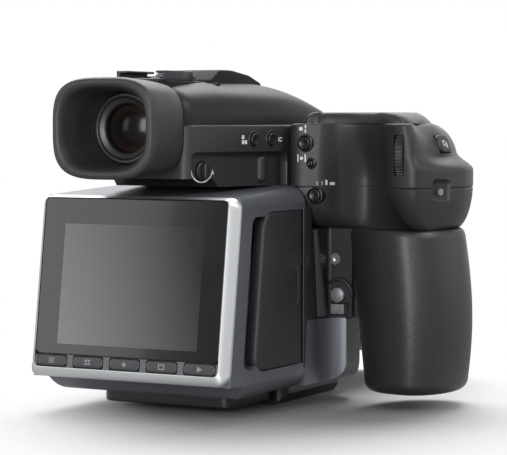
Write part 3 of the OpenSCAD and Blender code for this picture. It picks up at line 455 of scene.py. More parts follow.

# display under glass: a grey ramp, lighter at the left and towards the bottom, painted in as reflected light, with fine
# rows of picture cells and a glossy face
# a wave of scale 314 repeats every mm, and a row of cells is half a wave
panel = {"tones": ("#6c6d6f", "#131415"), "cellMm": 0.5, "rows": 0.014, "tilt": 0.45, "from": -0.014, "to": 0.056}
tree, shader, place = newFinish("displayGlass", {"IOR": 1.52, "Roughness": 0.16, "Specular IOR Level": 0.3})
along = addNode(tree, "SeparateXYZ", {"Vector": place})
lower = addNode(tree, "Math", {
    0: along.outputs["Z"], 1: panel["tilt"], 2: along.outputs["X"]}, operation="MULTIPLY_ADD")
# painted reflection: the display's colour is lighter towards the left and the bottom
paintedReflectionRamp = addNode(tree, "MapRange", {"Value": lower.outputs["Value"], "From Min": panel["from"], "From Max": panel["to"]})
cells = addNode(tree, "TexWave", {"Vector": place, "Scale": 314 / panel["cellMm"] / 2}, bands_direction="Z")
lift = addNode(tree, "Math", {
    0: cells.outputs["Fac"], 1: panel["rows"], 2: paintedReflectionRamp.outputs["Result"]}, operation="MULTIPLY_ADD")
follow(shader, lift.outputs["Value"], panel["tones"])

# green lacquered circuit board: tracks show as darker streaks under the lacquer
tracks = {"tones": ("#0f3a22", "#19552f"), "trackMm": 3.0, "wander": 2.0}
tree, shader, place = newFinish("lacqueredBoard", {"IOR": 1.5, "Roughness": 0.35})
wave = addNode(tree, "TexWave", {
    "Vector": place, "Scale": 314 / tracks["trackMm"] / 2, "Distortion": tracks["wander"]}, bands_direction="X")
follow(shader, wave.outputs["Fac"], tracks["tones"])

# coated optical glass: clear, with a faint violet sheen whose strength drifts across the coating
coating = {"film": 420.0, "spread": 25, "driftMm": 12}
tree, shader, place = newFinish("coatedGlass", {
    "IOR": 1.6, "Base Color": "#e9eef4", "Roughness": 0.02, "Transmission Weight": 1.0, "Thin Film IOR": 1.38})
drift = addNode(tree, "TexNoise", {"Vector": place, "Scale": 1000 / coating["driftMm"], "Detail": 2})
film = addNode(tree, "MapRange", {
    "Value": drift.outputs["Fac"], "To Min": coating["film"] - coating["spread"],
    "To Max": coating["film"] + coating["spread"]})
tree.links.new(film.outputs["Result"], shader.inputs["Thin Film Thickness"])

# dark lens glass: black in the middle, lighter and tinted towards the rim as a painted reflection of its coating
rims = {
    # eyepiece, looking into the dark prism: a warm ring of painted reflection and one soft pale glint
    "eyeGlass": {"shader": {"IOR": 1.6, "Roughness": 0.19, "Specular IOR Level": 0.14},
                 "middle": (0, -0.0875, 0.1083), "from": 0.004, "to": 0.0095, "tones": ("#0c0b0b", "#251d1a")},
    # front element: deep blue-black, with a violet painted reflection at its rim
    "frontGlass": {"shader": {"IOR": 1.6, "Roughness": 0.03, "Specular IOR Level": 0.22},
                   "middle": (0, 0.0945, 0.049), "from": 0.01, "to": 0.029, "tones": ("#07090d", "#1c1830")},
}
for name, rim in rims.items():
    tree, shader, place = newFinish(name, rim["shader"])
    fromAxis = addNode(tree, "VectorMath", {0: place, 1: rim["middle"]}, operation="DISTANCE")
    # painted reflection: lighter and tinted towards the rim
    paintedRimReflection = addNode(tree, "MapRange", {
        "Value": fromAxis.outputs["Value"], "From Min": rim["from"], "From Max": rim["to"]},
        interpolation_type="SMOOTHSTEP")
    follow(shader, paintedRimReflection.outputs["Result"], rim["tones"])

# the finish of each slot of the record, and of a few nodes that differ from their slot
slotFinish = {
    "black_plastic": "mouldedAbs", "black_cover": "smoothAbs", "black_metal": "satinBlackMetal",
    "grey_paint": "slatePaint", "silver": "blastedAluminium", "steel": "brushedSteel", "bright_steel": "brushedSteel",
    "grip_rubber": "gripRubber", "soft_rubber": "softRubber", "cover_glass": "printedGlass",
    "optical_glass": "coatedGlass", "display": "displayGlass", "silvered": "silveredGlass", "board": "lacqueredBoard"}
nodeFinish = {"strap_lugs": "satinSilver", "lock_slide": "satinSilver", "side_fairing": "maskedPaint",
              "button_bar": "greyPlastic"}
for part in frame["record"]["subparts"]:
    solid = nodes[part["node"]]
    solid.data.materials.clear()
    solid.data.materials.append(finishes[nodeFinish.get(part["node"], slotFinish[part["material_slot"]])])
print("finishes made:", len(finishes))


# the photo's viewpoint, found from the display's corners
view = {"at": (0.4095, -0.7449, 0.111), "turn": 28.8, "right": 0.00695, "down": 0.0510, "lens": 148.2}
lensData = bpy.data.cameras.new("viewCamera")
lensData.lens = view["lens"]
lensData.sensor_width = 36
lensData.clip_start, lensData.clip_end = 0.01, 20
viewCamera = bpy.data.objects.new("viewCamera", lensData)
turnBy = math.radians(view["turn"])
ahead = Vector((-math.sin(turnBy), math.cos(turnBy), 0))
sideways = Vector((math.cos(turnBy), math.sin(turnBy), 0))
aim = ahead + view["right"] * sideways - view["down"] * Vector((0, 0, 1))
viewCamera.location = view["at"]
viewCamera.rotation_euler = aim.to_track_quat("-Z", "Y").to_euler()
bpy.context.scene.collection.objects.link(viewCamera)
bpy.context.scene.camera = viewCamera
bpy.context.scene.view_settings.view_transform = "Standard"

lamps = {
    "overhead": {"at": (-0.3, 0.52, 0.9), "aim": (0.0, 0.0, 0.05), "size": (1.1, 0.7), "watts": 14.5},
    "backdrop": {"at": (-0.5, 1.3, 0.36), "aim": (-0.1, 0.0, 0.1), "size": (2.2, 0.7), "watts": 4.2},
    "leftPanel": {"at": (-0.9, -0.85, 0.3), "aim": (0, -0.05, 0.08), "size": (0.8, 0.55), "watts": 3.6},
    "rightPanel": {"at": (0.9, 0.5, 0.26), "aim": (0.08, 0, 0.08), "size": (0.8, 0.45), "watts": 1.0},
    "nearStrip": {"at": (0.2, -1.0, 0.24), "aim": (0.06, 0, 0.08), "size": (0.26, 0.5), "watts": 5.8},
    "nearFill": {"at": (0.62, -0.8, 0.32), "aim": (0.04, -0.03, 0.08), "size": (0.5, 0.4), "watts": 1.2},
    "sideStrip": {"at": (0.82, -0.05, 0.72), "aim": (0.08, 0, 0.08), "size": (0.3, 0.4), "watts": 4.3},
}
for name, lamp in lamps.items():
    data = bpy.data.lights.new(name, "AREA")
    data.shape = "RECTANGLE"
    data.size, data.size_y = lamp["size"]
    data.energy = lamp["watts"]
    glow = bpy.data.objects.new(name, data)
    glow.location = lamp["at"]
    glow.rotation_euler = (Vector(lamp["aim"]) - Vector(lamp["at"])).to_track_quat("-Z", "Y").to_euler()
    bpy.context.scene.collection.objects.link(glow)

# white room: seen as white by the camera, half as bright in reflections, a gentle fill for everything else
room = {"fill": 0.23, "shine": 0.5}
world = bpy.data.worlds.new("whiteRoom")
world.use_nodes = True
tree = world.node_tree
tree.nodes.clear()
rays = addNode(tree, "LightPath")
shiny = addNode(tree, "Math", {
    0: rays.outputs["Is Glossy Ray"], 1: rays.outputs["Is Transmission Ray"]}, operation="MAXIMUM")
shine = addNode(tree, "MapRange", {"Value": shiny.outputs["Value"], "To Min": room["fill"], "To Max": room["shine"]})
level = addNode(tree, "Math", {0: rays.outputs["Is Camera Ray"], 1: shine.outputs["Result"]}, operation="MAXIMUM")
back = addNode(tree, "Background", {"Color": (1, 1, 1, 1), "Strength": level.outputs["Value"]})
addNode(tree, "OutputWorld", {"Surface": back.outputs["Background"]})
bpy.context.scene.world = world

# pale floor: a disc that keeps the shadow and fades into the white room on an oval, narrow across the view
floor = {"colour": "#f4f4f5", "radii": (20, 100, 200, 300, 400, 500, 600), "at": (10, -10, -0.15), "steps": 64,
         "near": 0.45, "far": 1.25, "across": 0.115, "along": 0.19, "middle": (0.018, 0.002, 0.0)}
rings, steps = len(floor["radii"]), floor["steps"]
disc = turned([(r, 0) for r in floor["radii"]], steps) + np.array(floor["at"])
r, c = np.meshgrid(np.arange(rings - 1), np.arange(steps), indexing="ij")
nr, nc = r + 1, (c + 1) % steps
quads = np.stack([r * steps + c, nr * steps + c, nr * steps + nc, r * steps + nc], -1).reshape(-1, 4)
pale = bpy.data.meshes.new("paleFloor")
pale.from_pydata((disc.reshape(-1, 3) * mm).tolist(), [], quads.tolist() + [list(range(steps))])
paleFloor = bpy.data.objects.new("paleFloor", pale)
bpy.context.scene.collection.objects.link(paleFloor)
matt = bpy.data.materials.new("paleFloor")
matt.use_nodes = True
tree = matt.node_tree
tree.nodes.clear()
oval = addNode(tree, "Mapping", {
    "Vector": addNode(tree, "TexCoord").outputs["Object"], "Location": floor["middle"],
    "Rotation": (0, 0, turnBy), "Scale": (floor["across"], floor["along"], 1)}, vector_type="TEXTURE")
reach = addNode(tree, "VectorMath", {0: oval.outputs["Vector"]}, operation="LENGTH")
fade = addNode(tree, "MapRange", {
    "Value": reach.outputs["Value"], "From Min": floor["near"], "From Max": floor["far"]},
    interpolation_type="SMOOTHSTEP")
chalk = addNode(tree, "BsdfDiffuse", {"Color": floor["colour"]})
clear = addNode(tree, "BsdfTransparent")
mixed = addNode(tree, "MixShader", {
    0: fade.outputs["Result"], 1: chalk.outputs["BSDF"], 2: clear.outputs["BSDF"]})
addNode(tree, "OutputMaterial", {"Surface": mixed.outputs["Shader"]})
pale.materials.append(matt)

# the lamps on the viewer's side are flagged off the floor, so that the shadow stays
flagged = bpy.data.collections.new("flagged")
flagged.objects.link(paleFloor)
flagged.collection_objects[0].light_linking.link_state = "EXCLUDE"
for name in ("nearStrip", "nearFill", "sideStrip"):
    bpy.data.objects[name].light_linking.receiver_collection = flagged
print("camera, lamps and floor set")


# grip shell: the pod's two outlines, how far each side rises, and where the moulding seam runs round it
grip = {
    "low": [[0, -5], [7, -5], [14, -5.5], [23, -6.5], [35, -9], [44.5, -11.8], [48.5, -13.2], [51.2, -12.6],
            [52.8, -9.5], [53.3, -4], [53.5, 4], [50.5, 15], [43, 23], [32, 26], [16, 24], [0, 22]],
    "full": [[-4.2, -19], [7.6, -20.8], [14.6, -13], [23, -7], [32.6, -11.8], [39, -22.3], [43.8, -25.4], [50.4, -25.9],
             [53.8, -22], [58.8, -8], [60.1, 5], [56.5, 19], [46, 28], [32, 30.5], [16, 26], [0, 23]],
    "left": 38.1, "foot": 69.0, "high": 41, "leftRise": (15, 15), "rightRise": (19, 19.2), "turnIn": 1.6, "lean": 29,
    "valley": (17.6, 17.4, 18.6), "fill": 0.66, "fillRise": (19, 42), "middle": (34, 2), "size": 28, "press": 4.2,
    "pressAlong": (-16, -8), "topRound": 0.9, "footRound": 0.3, "seam": 16.4, "seamDepth": 0.42, "seamWidth": 0.24,
    "shoulder": {"step": 7.5, "rise": (23, 30), "in": 13, "over": 15, "across": (38, 60), "along": (-26, -8),
                 "rear": 0.35},
    "corner": {"in": 6.5, "over": 12, "early": 0.3, "ahead": 28, "across": (16, 46)}}


# outline of the pod at heights h: a closed curve through points that swell from the low outline to the full one on a
# quarter circle, whose right shoulder and front corner lean in towards the top; inset draws it towards its middle
def podRings(h, inset):
    h = np.asarray(h, float)[:, None]
    low, full = np.array(grip["low"], float), np.array(grip["full"], float)
    index = np.arange(len(low))[None]
    leftSide, rightSide = (dome((grip[s][0] - h) / grip[s][1]) for s in ("leftRise", "rightRise"))
    swell = np.where((index < 4) | (index > 14), leftSide, rightSide)[..., None]
    swell[:, 4:6] **= grip["turnIn"]  # the ridge's left edge turns in towards the foot
    ctrl = low + swell * (full - low)
    # the valley runs out upwards
    ctrl[:, 2:5, 1] -= grip["fill"] * ease(*grip["fillRise"], h) * (np.array(grip["valley"]) + ctrl[:, 2:5, 1])
    over = np.minimum(h, grip["high"]) - grip["lean"]
    part = grip["shoulder"]
    shoulder = part["step"] * ease(*part["rise"], h) + part["in"] * np.clip(over / part["over"], 0, 1) ** 2
    share = part["rear"] + (1 - part["rear"]) * ease(*part["along"], ctrl[..., 1])
    shoulder = shoulder * ease(*part["across"], ctrl[..., 0]) * share
    part = grip["corner"]
    bow = np.clip(over / part["over"], 0, 1)
    corner = part["in"] * (part["early"] * bow + (1 - part["early"]) * bow ** 6)
    corner = corner * np.clip(ctrl[..., 1] / part["ahead"], 0, 1) ** 2.6 * ease(*part["across"], ctrl[..., 0])
    ctrl[..., 0] -= shoulder + corner
    line = closedCurve(ctrl)
    inset = np.broadcast_to(np.asarray(inset, float), (len(h),))[:, None]
    x, y = (m + (line[..., k] - m) * (1 - inset / grip["size"]) for k, m in enumerate(grip["middle"]))
    x = grip["left"] + flatBelow(inset - grip["press"] * (1 - ease(*grip["pressAlong"], y)), x)
    return surface(x, y, grip["foot"] + h)


# y of the pod's rear face at x and height z
def podDepth(x, z):
    line = podRings([z - grip["foot"]], 0.0)[0]
    line = line[(line[:, 1] < -5) & (line[:, 0] < 54)]
    line = line[np.argsort(line[:, 0])]
    return np.interp(x, line[:, 0], line[:, 1])


h = np.unique(np.concatenate([np.linspace(0, 2, 9), np.linspace(2, 40, 77), grip["seam"] + np.linspace(-1, 1, 21),
                              np.linspace(40, grip["high"], 7)]))
upper, foot = grip["topRound"], grip["footRound"]
edge = upper * (1 - dome((h - (grip["high"] - upper)) / upper)) + foot * (1 - dome((foot - h) / foot))
groove = grip["seamDepth"] * np.exp(-((h - grip["seam"]) / grip["seamWidth"]) ** 2)
gripShell = skin("gripShell", podRings(h, edge + groove), sharp=50)
thumbKeys = {"focus_key": {"at": (41.2, -20.6, 102.4), "r": 2.45}, "user_key": {"at": (43.5, -20.7, 94.6), "r": 1.2},
             "lock_key": {"at": (45, -20.4, 82.2), "r": 2.45}}
recess = placed(plate(roundBox(9.6, 8.8, 1.4, 6), [(1.3, -1.9), (1.0, -1.8), (-0.7, 0.3), (-0.7, 7)]), spots["lug"])
cutters = [boxCut(spots[name], (-2.0, -7.7, 4), (2.0, 7.7, 18), 0.8) for name in ("rear_wheel", "front_wheel")]
cutters += [boxCut(spots["drive"], (-4.75, -3.85, -4), (4.75, 3.85, 9), 0.7), skin("cutter", recess)]
for name, key in thumbKeys.items():
    spots[name] = {**spots["back"], "at": key["at"]}
    cutters.append(roundCut(spots[name], key["r"] + 0.3, 0, 0, -4.2, 5))
carve(gripShell, cutters, 44)
dress(gripShell, "camera", "mouldedAbs", "black_plastic", "grip_shell")

# thumb keys in raised collars, each with a plain printed mark beside it that follows the pod's rear face
for name, key in thumbKeys.items():
    r, out = key["r"], key["at"][1] - podDepth(key["at"][0], key["at"][2])
    collar = [(r + 0.28, out - 3), (r + 0.28, out + 0.2), (r + 0.42, out + 0.42), (r + 0.75, out + 0.36),
              (r + 1.15, out - 0.1), (r + 1.15, out - 3)]
    ring = placed(turned(eased(collar, 0.15, 4), 56), spots[name])
    add(f"{name}.collar", ring, "camera", "smoothAbs", "black_plastic", loop=True, sharp=50)
    cap = roundKey(spots[name], r, -3, out + 0.75, 0.35 * r / 2.45)
    add(f"{name}.cap", cap, name, "smoothAbs", "black_cover", name, sharp=50)
thumbMarks = {
    "focusMark": (39.9, 108.0, bars((-1.7, 0.9, 0.45, 1.3), (1.7, 0.9, 0.45, 1.3), (-1.7, -0.9, 0.45, 1.3),
                                    (1.7, -0.9, 0.45, 1.3), (0, 0, 1.3, 1.3))),
    "userMark": (40.2, 96.6, bars((0, 1.3, 3.2, 0.45), (0, -1.3, 3.2, 0.45), (-1.4, 0, 0.45, 2.4), (1.4, 0, 0.45, 2.4),
                                  (0, 0, 1.1, 1.1))),
    "lockMark": (48.4, 87.2, bars((-1.6, -0.3, 1.8, 1.5), (0.4, 0, 0.5, 2.0), (1.9, -0.5, 1.3, 1.1)))}
for name, (x, z, outlines) in thumbMarks.items():
    flats = [np.stack([x + o[:, 0], podDepth(x + o[:, 0], z + o[:, 1].mean()), z + o[:, 1]], -1) for o in outlines]
    grids = [np.stack([flat + [0, 0.4, 0], flat - [0, 0.05, 0]]) for flat in flats]
    add(name, grids, "camera", "whiteInk", "silver")

# top cover: its own closed curve, drawn in towards the middle on a quarter round, then rings that shrink to a point
cover = {"ctrl": [[0.4, -15.5], [6, -17], [14, -15.6], [23, -14.8], [32, -16.6], [39, -19], [43.6, -17.6],
                  [44.4, -10.5], [44, -3], [43.8, 5], [39.6, 18], [33, 26.6], [24, 28.4], [14, 25], [2, 21.4]],
         "middle": (23, 4), "left": 38, "low": 110.05, "high": 114.4, "round": 3.4, "size": 25, "lean": 7,
         "summit": (54, 14), "window": ((53, -1.4, 113.2), (71, 9, 118)), "glass": (17.8, 10.2, 0.8)}
release = {"at": (65.6, 15.6), "r": 5.9, "hole": 6.25}
topKeys = {"r": 2.6, "hole": 2.85, "at": {"power_key": (48.4, -10.3), "menu_key": (48.4, -2.2)}}
line = closedCurve(np.array(cover["ctrl"], float))
rise = np.linspace(0, 1, 16)[:, None]
shrink = 1 - (0.3 + cover["round"] * (1 - np.cos(rise * np.pi / 2))) / cover["size"]
x, y = (m + (line[:, k] - m) * shrink for k, m in enumerate(cover["middle"]))
x = x - cover["lean"] * rise * ease(24, 44, x) * (0.3 + 0.7 * ease(-20, -6, y))
z = cover["low"] + (cover["high"] - cover["low"]) * np.sin(rise * np.pi / 2)
wall = surface(x + cover["left"], y, z)
hub = np.array([*cover["summit"], cover["high"]])
lid = hub + (wall[-1] - hub) * np.linspace(1, 0.03, 14)[1:, None, None]
gripTop = skin("gripTop", np.concatenate([wall, lid]), sharp=50)
cutters = [boxCut(top, *cover["window"], 0.8), roundCut(top, release["hole"], *release["at"], 108, 118)]
cutters += [roundCut(top, topKeys["hole"], *at, 108, 118) for at in topKeys["at"].values()]
carve(gripTop, cutters, 44)
dress(gripTop, "camera", "mouldedAbs", "black_cover", "grip_top")
topGlass = placed(plate(roundBox(*cover["glass"], 6), softRows(113.3, 114.3, 0.2)), top, (62, 3.8, 0))
add("topGlass", topGlass, "camera", "printedGlass", "display", "top_display")
for name, at in topKeys["at"].items():
    cap = roundKey({**top, "at": (*at, 0)}, topKeys["r"], 111.4, 114.2)
    add(f"{name}.cap", cap, name, "smoothAbs", "black_cover", name, sharp=50)
cap = roundKey({**top, "at": (*release["at"], 0)}, release["r"], 108.2, 114, 0.7)
add("releaseCap", cap, "shutter_release", "smoothAbs", "black_cover", "shutter_release", sharp=50)

# scroll wheels: a drum whose radius rises and falls in forty square teeth, eased over at both rims
wheel = {"r": 9.0, "teeth": 40, "deep": 0.5, "across": (-1.7, -1.62, -1.4, -1.2, -0.6, 0, 0.6, 1.2, 1.4, 1.62, 1.7),
         "drawn": (0.62, 0.25, 0.06, 0, 0, 0, 0, 0, 0.06, 0.25, 0.62)}
t = roundTurn(wheel["teeth"] * 12)
tooth = wheel["r"] - wheel["deep"] * (0.5 - 0.5 * np.tanh(3.2 * np.cos(wheel["teeth"] * t) + 0.6))
radius = tooth[None] - np.array(wheel["drawn"])[:, None]
drum = surface(np.array(wheel["across"])[:, None], radius * np.cos(t), radius * np.sin(t))
for name in ("rear_wheel", "front_wheel"):
    add(f"{name}.drum", placed(drum, spots[name]), name, "softRubber", "grip_rubber", name, sharp=40)

# drive key: a pillowed plate with two printed squares
rows = np.concatenate([softRows(-2.6, 1.15, 0.5), [(1.2, 1.2), (2.2, 1.22)]])
driveKey = placed(plate(roundBox(9, 7.2, 2.4, 8), rows), spots["drive"])
add("driveKey", driveKey, "drive_key", "mouldedAbs", "black_cover", "drive_key", sharp=50)
squares = bars((-0.6, 0.9, 2.0, 0.4), (-0.6, -0.9, 2.0, 0.4), (-1.5, 0, 0.4, 1.5), (0.35, 0, 0.4, 1.5),
               (1.35, -0.6, 0.5, 1.9), (0.75, -1.6, 1.7, 0.4))
marks("driveMark", squares, spots["drive"], 1.22, body="drive_key")

# battery grip: one outline, wider halfway up, drawn in at its foot and its head on quarter circles
battery = {"ctrl": [[2.2, -12], [10, -18.4], [20.4, -20.8], [30, -20.5], [38, -14], [42, -3], [41.6, 9], [35.8, 19],
                    [26, 24], [15.4, 22], [6, 14], [1.4, 1]],
           "left": 53.9, "wide": 42, "foot": 6.0, "full": 68.8, "head": 69.2, "ends": 4.2, "middle": (20, 1.5),
           "size": 22, "swell": 2.94, "footShift": 8, "bow": 0.05,
           "footIn": {"by": 4.6, "from": 10, "over": 4.1}, "headIn": {"by": 1.7, "from": 66, "over": 3.25}}
z = np.unique(np.concatenate([battery["foot"] + battery["ends"] * np.linspace(0, 1, 15) ** 2, np.linspace(10.2, 65, 56),
                              battery["head"] - battery["ends"] * np.linspace(0.95, 0, 13) ** 2]))
line = closedCurve(np.array(battery["ctrl"], float))
share = (np.minimum(z, battery["full"]) / battery["full"])[:, None]
drawn = sum(end["by"] * (1 - dome(way * (z - end["from"]) / end["over"]))
            for end, way in ((battery["footIn"], -1), (battery["headIn"], 1)))[:, None]
qx, qy = (m + (line[None, :, k] - m) * (1 - drawn / battery["size"]) for k, m in enumerate(battery["middle"]))
swell = battery["swell"] * np.sin(np.pi * np.clip((share - 0.02) / 0.96, 0, 1))
out = qx / battery["wide"]
x = battery["left"] + flatBelow(0, qx + swell * qx / battery["wide"] + battery["footShift"] * (1 - share) * (1 - out))
y = qy * (1 + battery["bow"] * np.sin(np.pi * share))
add("batteryGrip", surface(x, y, z[:, None]), "camera", "gripRubber", "grip_rubber", "battery_grip", sharp=60)
print("grip made")

# finder: where its rear, ledge and round front are, and the height of the eyepiece's axis
finder = {"rear": -78.4, "foot": 86.1, "ledge": 109.5, "crown": 17.3, "half": 35.0, "soft": 0.7, "frontR": 50,
          "frontMid": -6, "corner": 4.5, "eye": 108.3, "eyeHole": (13.5, 0, 0, -90, -73.8)}
eyeAxis = {**lens, "at": (0, 0, finder["eye"])}


# half width of the finder: straight flanks that open forwards, blended into parallel ones, then a round front
def finderHalf(y):
    flat = side["at"][0] + (y - side["at"][1]) * math.tan(flank)
    flat = -finder["soft"] * np.logaddexp(-flat / finder["soft"], -finder["half"] / finder["soft"])
    return np.minimum(flat, np.sqrt(np.maximum(0, finder["frontR"] ** 2 - np.maximum(0, y - finder["frontMid"]) ** 2)))


# finder base: the plan outline as a plate with a rounded ledge, recessed along both flanks
turnFront = np.linspace(math.asin(0.68), 0.02, 26)
corner = np.linspace(0, np.pi / 2, 7)
y = np.concatenate([finder["rear"] + finder["corner"] * (1 - np.cos(corner)), [-17], np.linspace(-13, 7, 15), [26]])
x = finderHalf(y) - np.concatenate([finder["corner"] * (1 - np.sin(corner)), np.zeros(len(y) - len(corner))])
roundFront = finder["frontR"] * np.stack([np.sin(turnFront), np.cos(turnFront)], -1) + [0, finder["frontMid"]]
half = np.concatenate([np.stack([x, y], -1), roundFront])
outline = np.concatenate([half, half[::-1] * [-1, 1]])
finderBase = skin("finderBase", plate(outline, softRows(finder["foot"], finder["ledge"], 0.9, 0.3, 6)), sharp=40)
cutters = [roundCut({**lens, "at": (0, 0, 49)}, 43.2, 0, 0, 29, 60, 96), roundCut(eyeAxis, *finder["eyeHole"])]
slope = np.array([[-90, 80], [-56, 80], [-56, 85], [-61, 89.2], [-90, 89.8]], float)
cutters.append(skin("cutter", placed(plate(slope, [(0, -50), (0, 50)]), spots["right"])))
bay = np.concatenate([[(5.6, 84), (63, 84)], eased([(63, 90), (63, 99), (55, 99)], 6, 8)[1:-1],
                      eased([(13, 99), (5.6, 99), (5.6, 93)], 2, 5)[1:-1]])
for spot, flip in ((side, 1), (farSide, -1)):
    cutters.append(skin("cutter", placed(plate(bay * [flip, 1], [(0, -3), (0, -0.5), (-0.5, 0), (-0.5, 4)]), spot)))
catchAt, dialAt = (14.5, 92.3), (-18, 102.5)
flankKeys = {"finder_key_rear": (42.5, 103.9), "finder_key_front": (53.2, 103.9)}
cutters.append(roundCut(side, 3.9, *catchAt, -4.3, 0))
cutters += [roundCut(side, 2.75, *at, -3.6, 3) for at in flankKeys.values()]
cutters.append(roundCut(farSide, 6.35, *dialAt, -3.2, 3))
carve(finderBase, cutters, 40)
dress(finderBase, "camera", "mouldedAbs", "black_plastic", "finder_base")

# crown: half superellipses across the finder, as wide as the ledge allows on a soft minimum, rounded over at the rear
# and falling away towards the front
crown = {"rearRound": 6, "blend": 1.6, "inset": 4.5, "power": 2 / 2.7, "fallFrom": -28, "fallOver": 65, "least": 0.08}
y = np.concatenate([finder["rear"] + crown["rearRound"] * np.linspace(0, 1, 15) ** 2, np.linspace(-72.4, 40, 86)])
y = np.unique(y)[:, None]
turnCrown = np.linspace(0, np.pi, 97)[None]
over = 0.8 + 0.2 * dome(1 - (y - finder["rear"]) / crown["rearRound"])
soft = crown["blend"]
wide = -soft * np.logaddexp((soft - finderHalf(y)) / soft, (crown["inset"] - finder["half"]) / soft) * over
fall = np.maximum(crown["least"], 1 - np.clip((y - crown["fallFrom"]) / crown["fallOver"], 0, 1) ** 2.7)
tall = (finder["crown"] * (0.9 + 0.1 * ease(-82, -50, y)) * fall - 0.1) * over
x = -wide * signPower(np.cos(turnCrown), crown["power"])
z = finder["ledge"] + 0.02 + tall * signPower(np.sin(turnCrown), crown["power"])
finderCrown = skin("finderCrown", surface(x, y, z), sharp=46)
cutters = [boxCut(top, (-14.05, y0, low), (14.05, -5.6, 140), 0.6) for y0, low in ((-49.6, 121.5), (-39.8, 119.1))]
carve(finderCrown, cutters + [roundCut(eyeAxis, *finder["eyeHole"])], 40)
dress(finderCrown, "camera", "finderShadedAbs", "black_plastic", "finder_cover")
shoeSeat = placed(plate(roundBox(24.6, 27, 1.2, 6), softRows(118.8, 126.1, 0.5)), top, (0, -63.6, 0))
add("shoeSeat", shoeSeat, "camera", "mattAbs", "black_plastic")

# accessory shoe: a folded profile drawn along the finder, with a spring leaf and contact pads in its floor
shoe = {"fold": [(-10.9, 0), (10.9, 0), (10.9, 3.7), (6.3, 3.7), (6.3, 2.8), (9.3, 2.8), (9.3, 0.7), (-9.3, 0.7),
                 (-9.3, 2.8), (-6.3, 2.8), (-6.3, 3.7), (-10.9, 3.7)],
        "rows": [(0.12, 0), (0, 0.15), (0, 19.85), (0.12, 20)],
        "pads": [(0, -66, 2.2), (-4, -61, 0.8), (4, -61, 0.8), (0, -60, 0.8)]}
shoeRail = placed(plate(eased(shoe["fold"], 0.3, 4, True), shoe["rows"]), spots["shoe"])
add("shoeRail", shoeRail, "camera", "darkSteel", "silver", "accessory_shoe", sharp=40)
stop = placed(plate(roundBox(21.8, 2, 0.3, 5), softRows(126.2, 128.2, 0.3)), top, (0, -55, 0))
add("shoeStop", stop, "camera", "darkSteel", "silver")
leaf = placed(plate(roundBox(13, 15, 1.5, 6), softRows(126.85, 127.15, 0.1)), top, (0, -66.5, 0))
add("shoeLeaf", leaf, "camera", "darkSteel", "silver")
pads = [placed(turned([(r, 127), (r, 127.35), (r * 0.6, 127.45), (0.05, 127.45)], 24), top, (a, b, 0))
        for a, b, r in shoe["pads"]]
add("shoeContacts", pads, "camera", "satinSilver", "silver")

# eyecup: closed rounds of rows (y, half width, half height, squareness), each row a superellipse round the eyepiece
cup = [[-78.5, 20, 17.15, 3.4], [-87, 21, 17.95, 3.4], [-101.4, 22, 18.75, 3.4], [-103.2, 21.7, 18.45, 3.4],
       [-104, 20.8, 17.55, 3.4], [-103.9, 19.2, 15.95, 3.2], [-102.4, 18, 14.95, 3], [-96, 15.4, 13.85, 2.6],
       [-88.2, 14.1, 13.9, 2], [-87.4, 13.6, 13.6, 2], [-78.5, 13.6, 13.6, 2]]
y, wide, tall, square = eased(cup, 1.6, 6, True).T[..., None]
t = roundTurn(168)[None]
x = wide * signPower(np.cos(t), 2 / square)
z = finder["eye"] + tall * signPower(np.sin(t), 2 / square)
add("eyeCup", surface(x, y, z), "camera", "softRubber", "soft_rubber", "eyecup", loop=True, sharp=60)

# eyepiece: a stepped tube round a domed dark lens
eye = {"tube": [(13.4, -7.9), (13.4, 5.6), (13.0, 6), (11.9, 6), (11.3, 5.2), (9.6, 4.6), (9.0, 4.0), (8.9, -7.9)],
       "r": 8.8, "rim": 1.5, "bulge": 2.4}
spot = {**spots["back"], "at": (0, -82, finder["eye"])}
tube = placed(turned(eased(eye["tube"], 0.3, 4, True), 96), spot)
add("eyeTube", tube, "camera", "satinBlackMetal", "black_metal", "eyepiece_barrel", loop=True, sharp=40)
ringRadius = np.concatenate([[eye["r"], eye["r"]], np.linspace(eye["r"], 0.1, 24)])
bulge = np.concatenate([[-2.0], [1.4], eye["rim"] + eye["bulge"] * (1 - np.linspace(1, 0.01, 24) ** 2)])
eyeGlass = placed(turned(np.stack([ringRadius, bulge], -1), 96), spot)
add("eyeGlass", eyeGlass, "camera", "eyeGlass", "optical_glass", "eyepiece_lens", sharp=40)

# pop-up flash: its side outline with eased corners, drawn across the finder with rounded flanks, on a hinge pin
flash = {"at": (0, -46.4, 124.5), "half": 13.8, "pin": [(1.2, -16.8), (1.2, 16.8)],
         "outline": [[-1.6, -1.4], [1, -2.3], [7, -2.4], [13, -5], [39.6, -5], [40, 1.6], [30, 4.6], [16, 6.3],
                     [6.5, 6.3], [-1, 2]]}
spot = {**spots["right"], "at": flash["at"]}
rows = softRows(0, flash["half"], 0.8)
rows = np.concatenate([rows[::-1] * [1, -1], rows[1:]])
lid = placed(plate(eased(flash["outline"], 1.2, 5, True), rows), spot)
pin = placed(turned(flash["pin"], 24), spot)
add("flashHead", [lid, pin], "flash_head", "mattAbs", "black_plastic", "flash_head", sharp=50)

# flash window on the lid's underside: fifteen round ribs side by side, eased in at both ends
window = {"ribs": np.linspace(-10.5, 10.5, 15), "half": 0.76, "low": 119.42, "below": 0.16, "above": 0.1,
          "along": [[17.0, 0.9], [17.3, 1.0], [35.7, 1.0], [36.0, 0.9]]}
t = roundTurn(20)
z = window["low"] + np.where(np.sin(t) < 0, window["below"], window["above"]) * np.sin(t)
along, slim = np.array(window["along"]).T[..., None]
x = window["half"] * np.cos(t)[None] * slim
rib = surface(x, along + flash["at"][1], z)
ribs = [rib + [a, 0, 0] for a in window["ribs"]]
add("flashWindow", ribs, "flash_head", "frostedLens", "optical_glass", sharp=60)

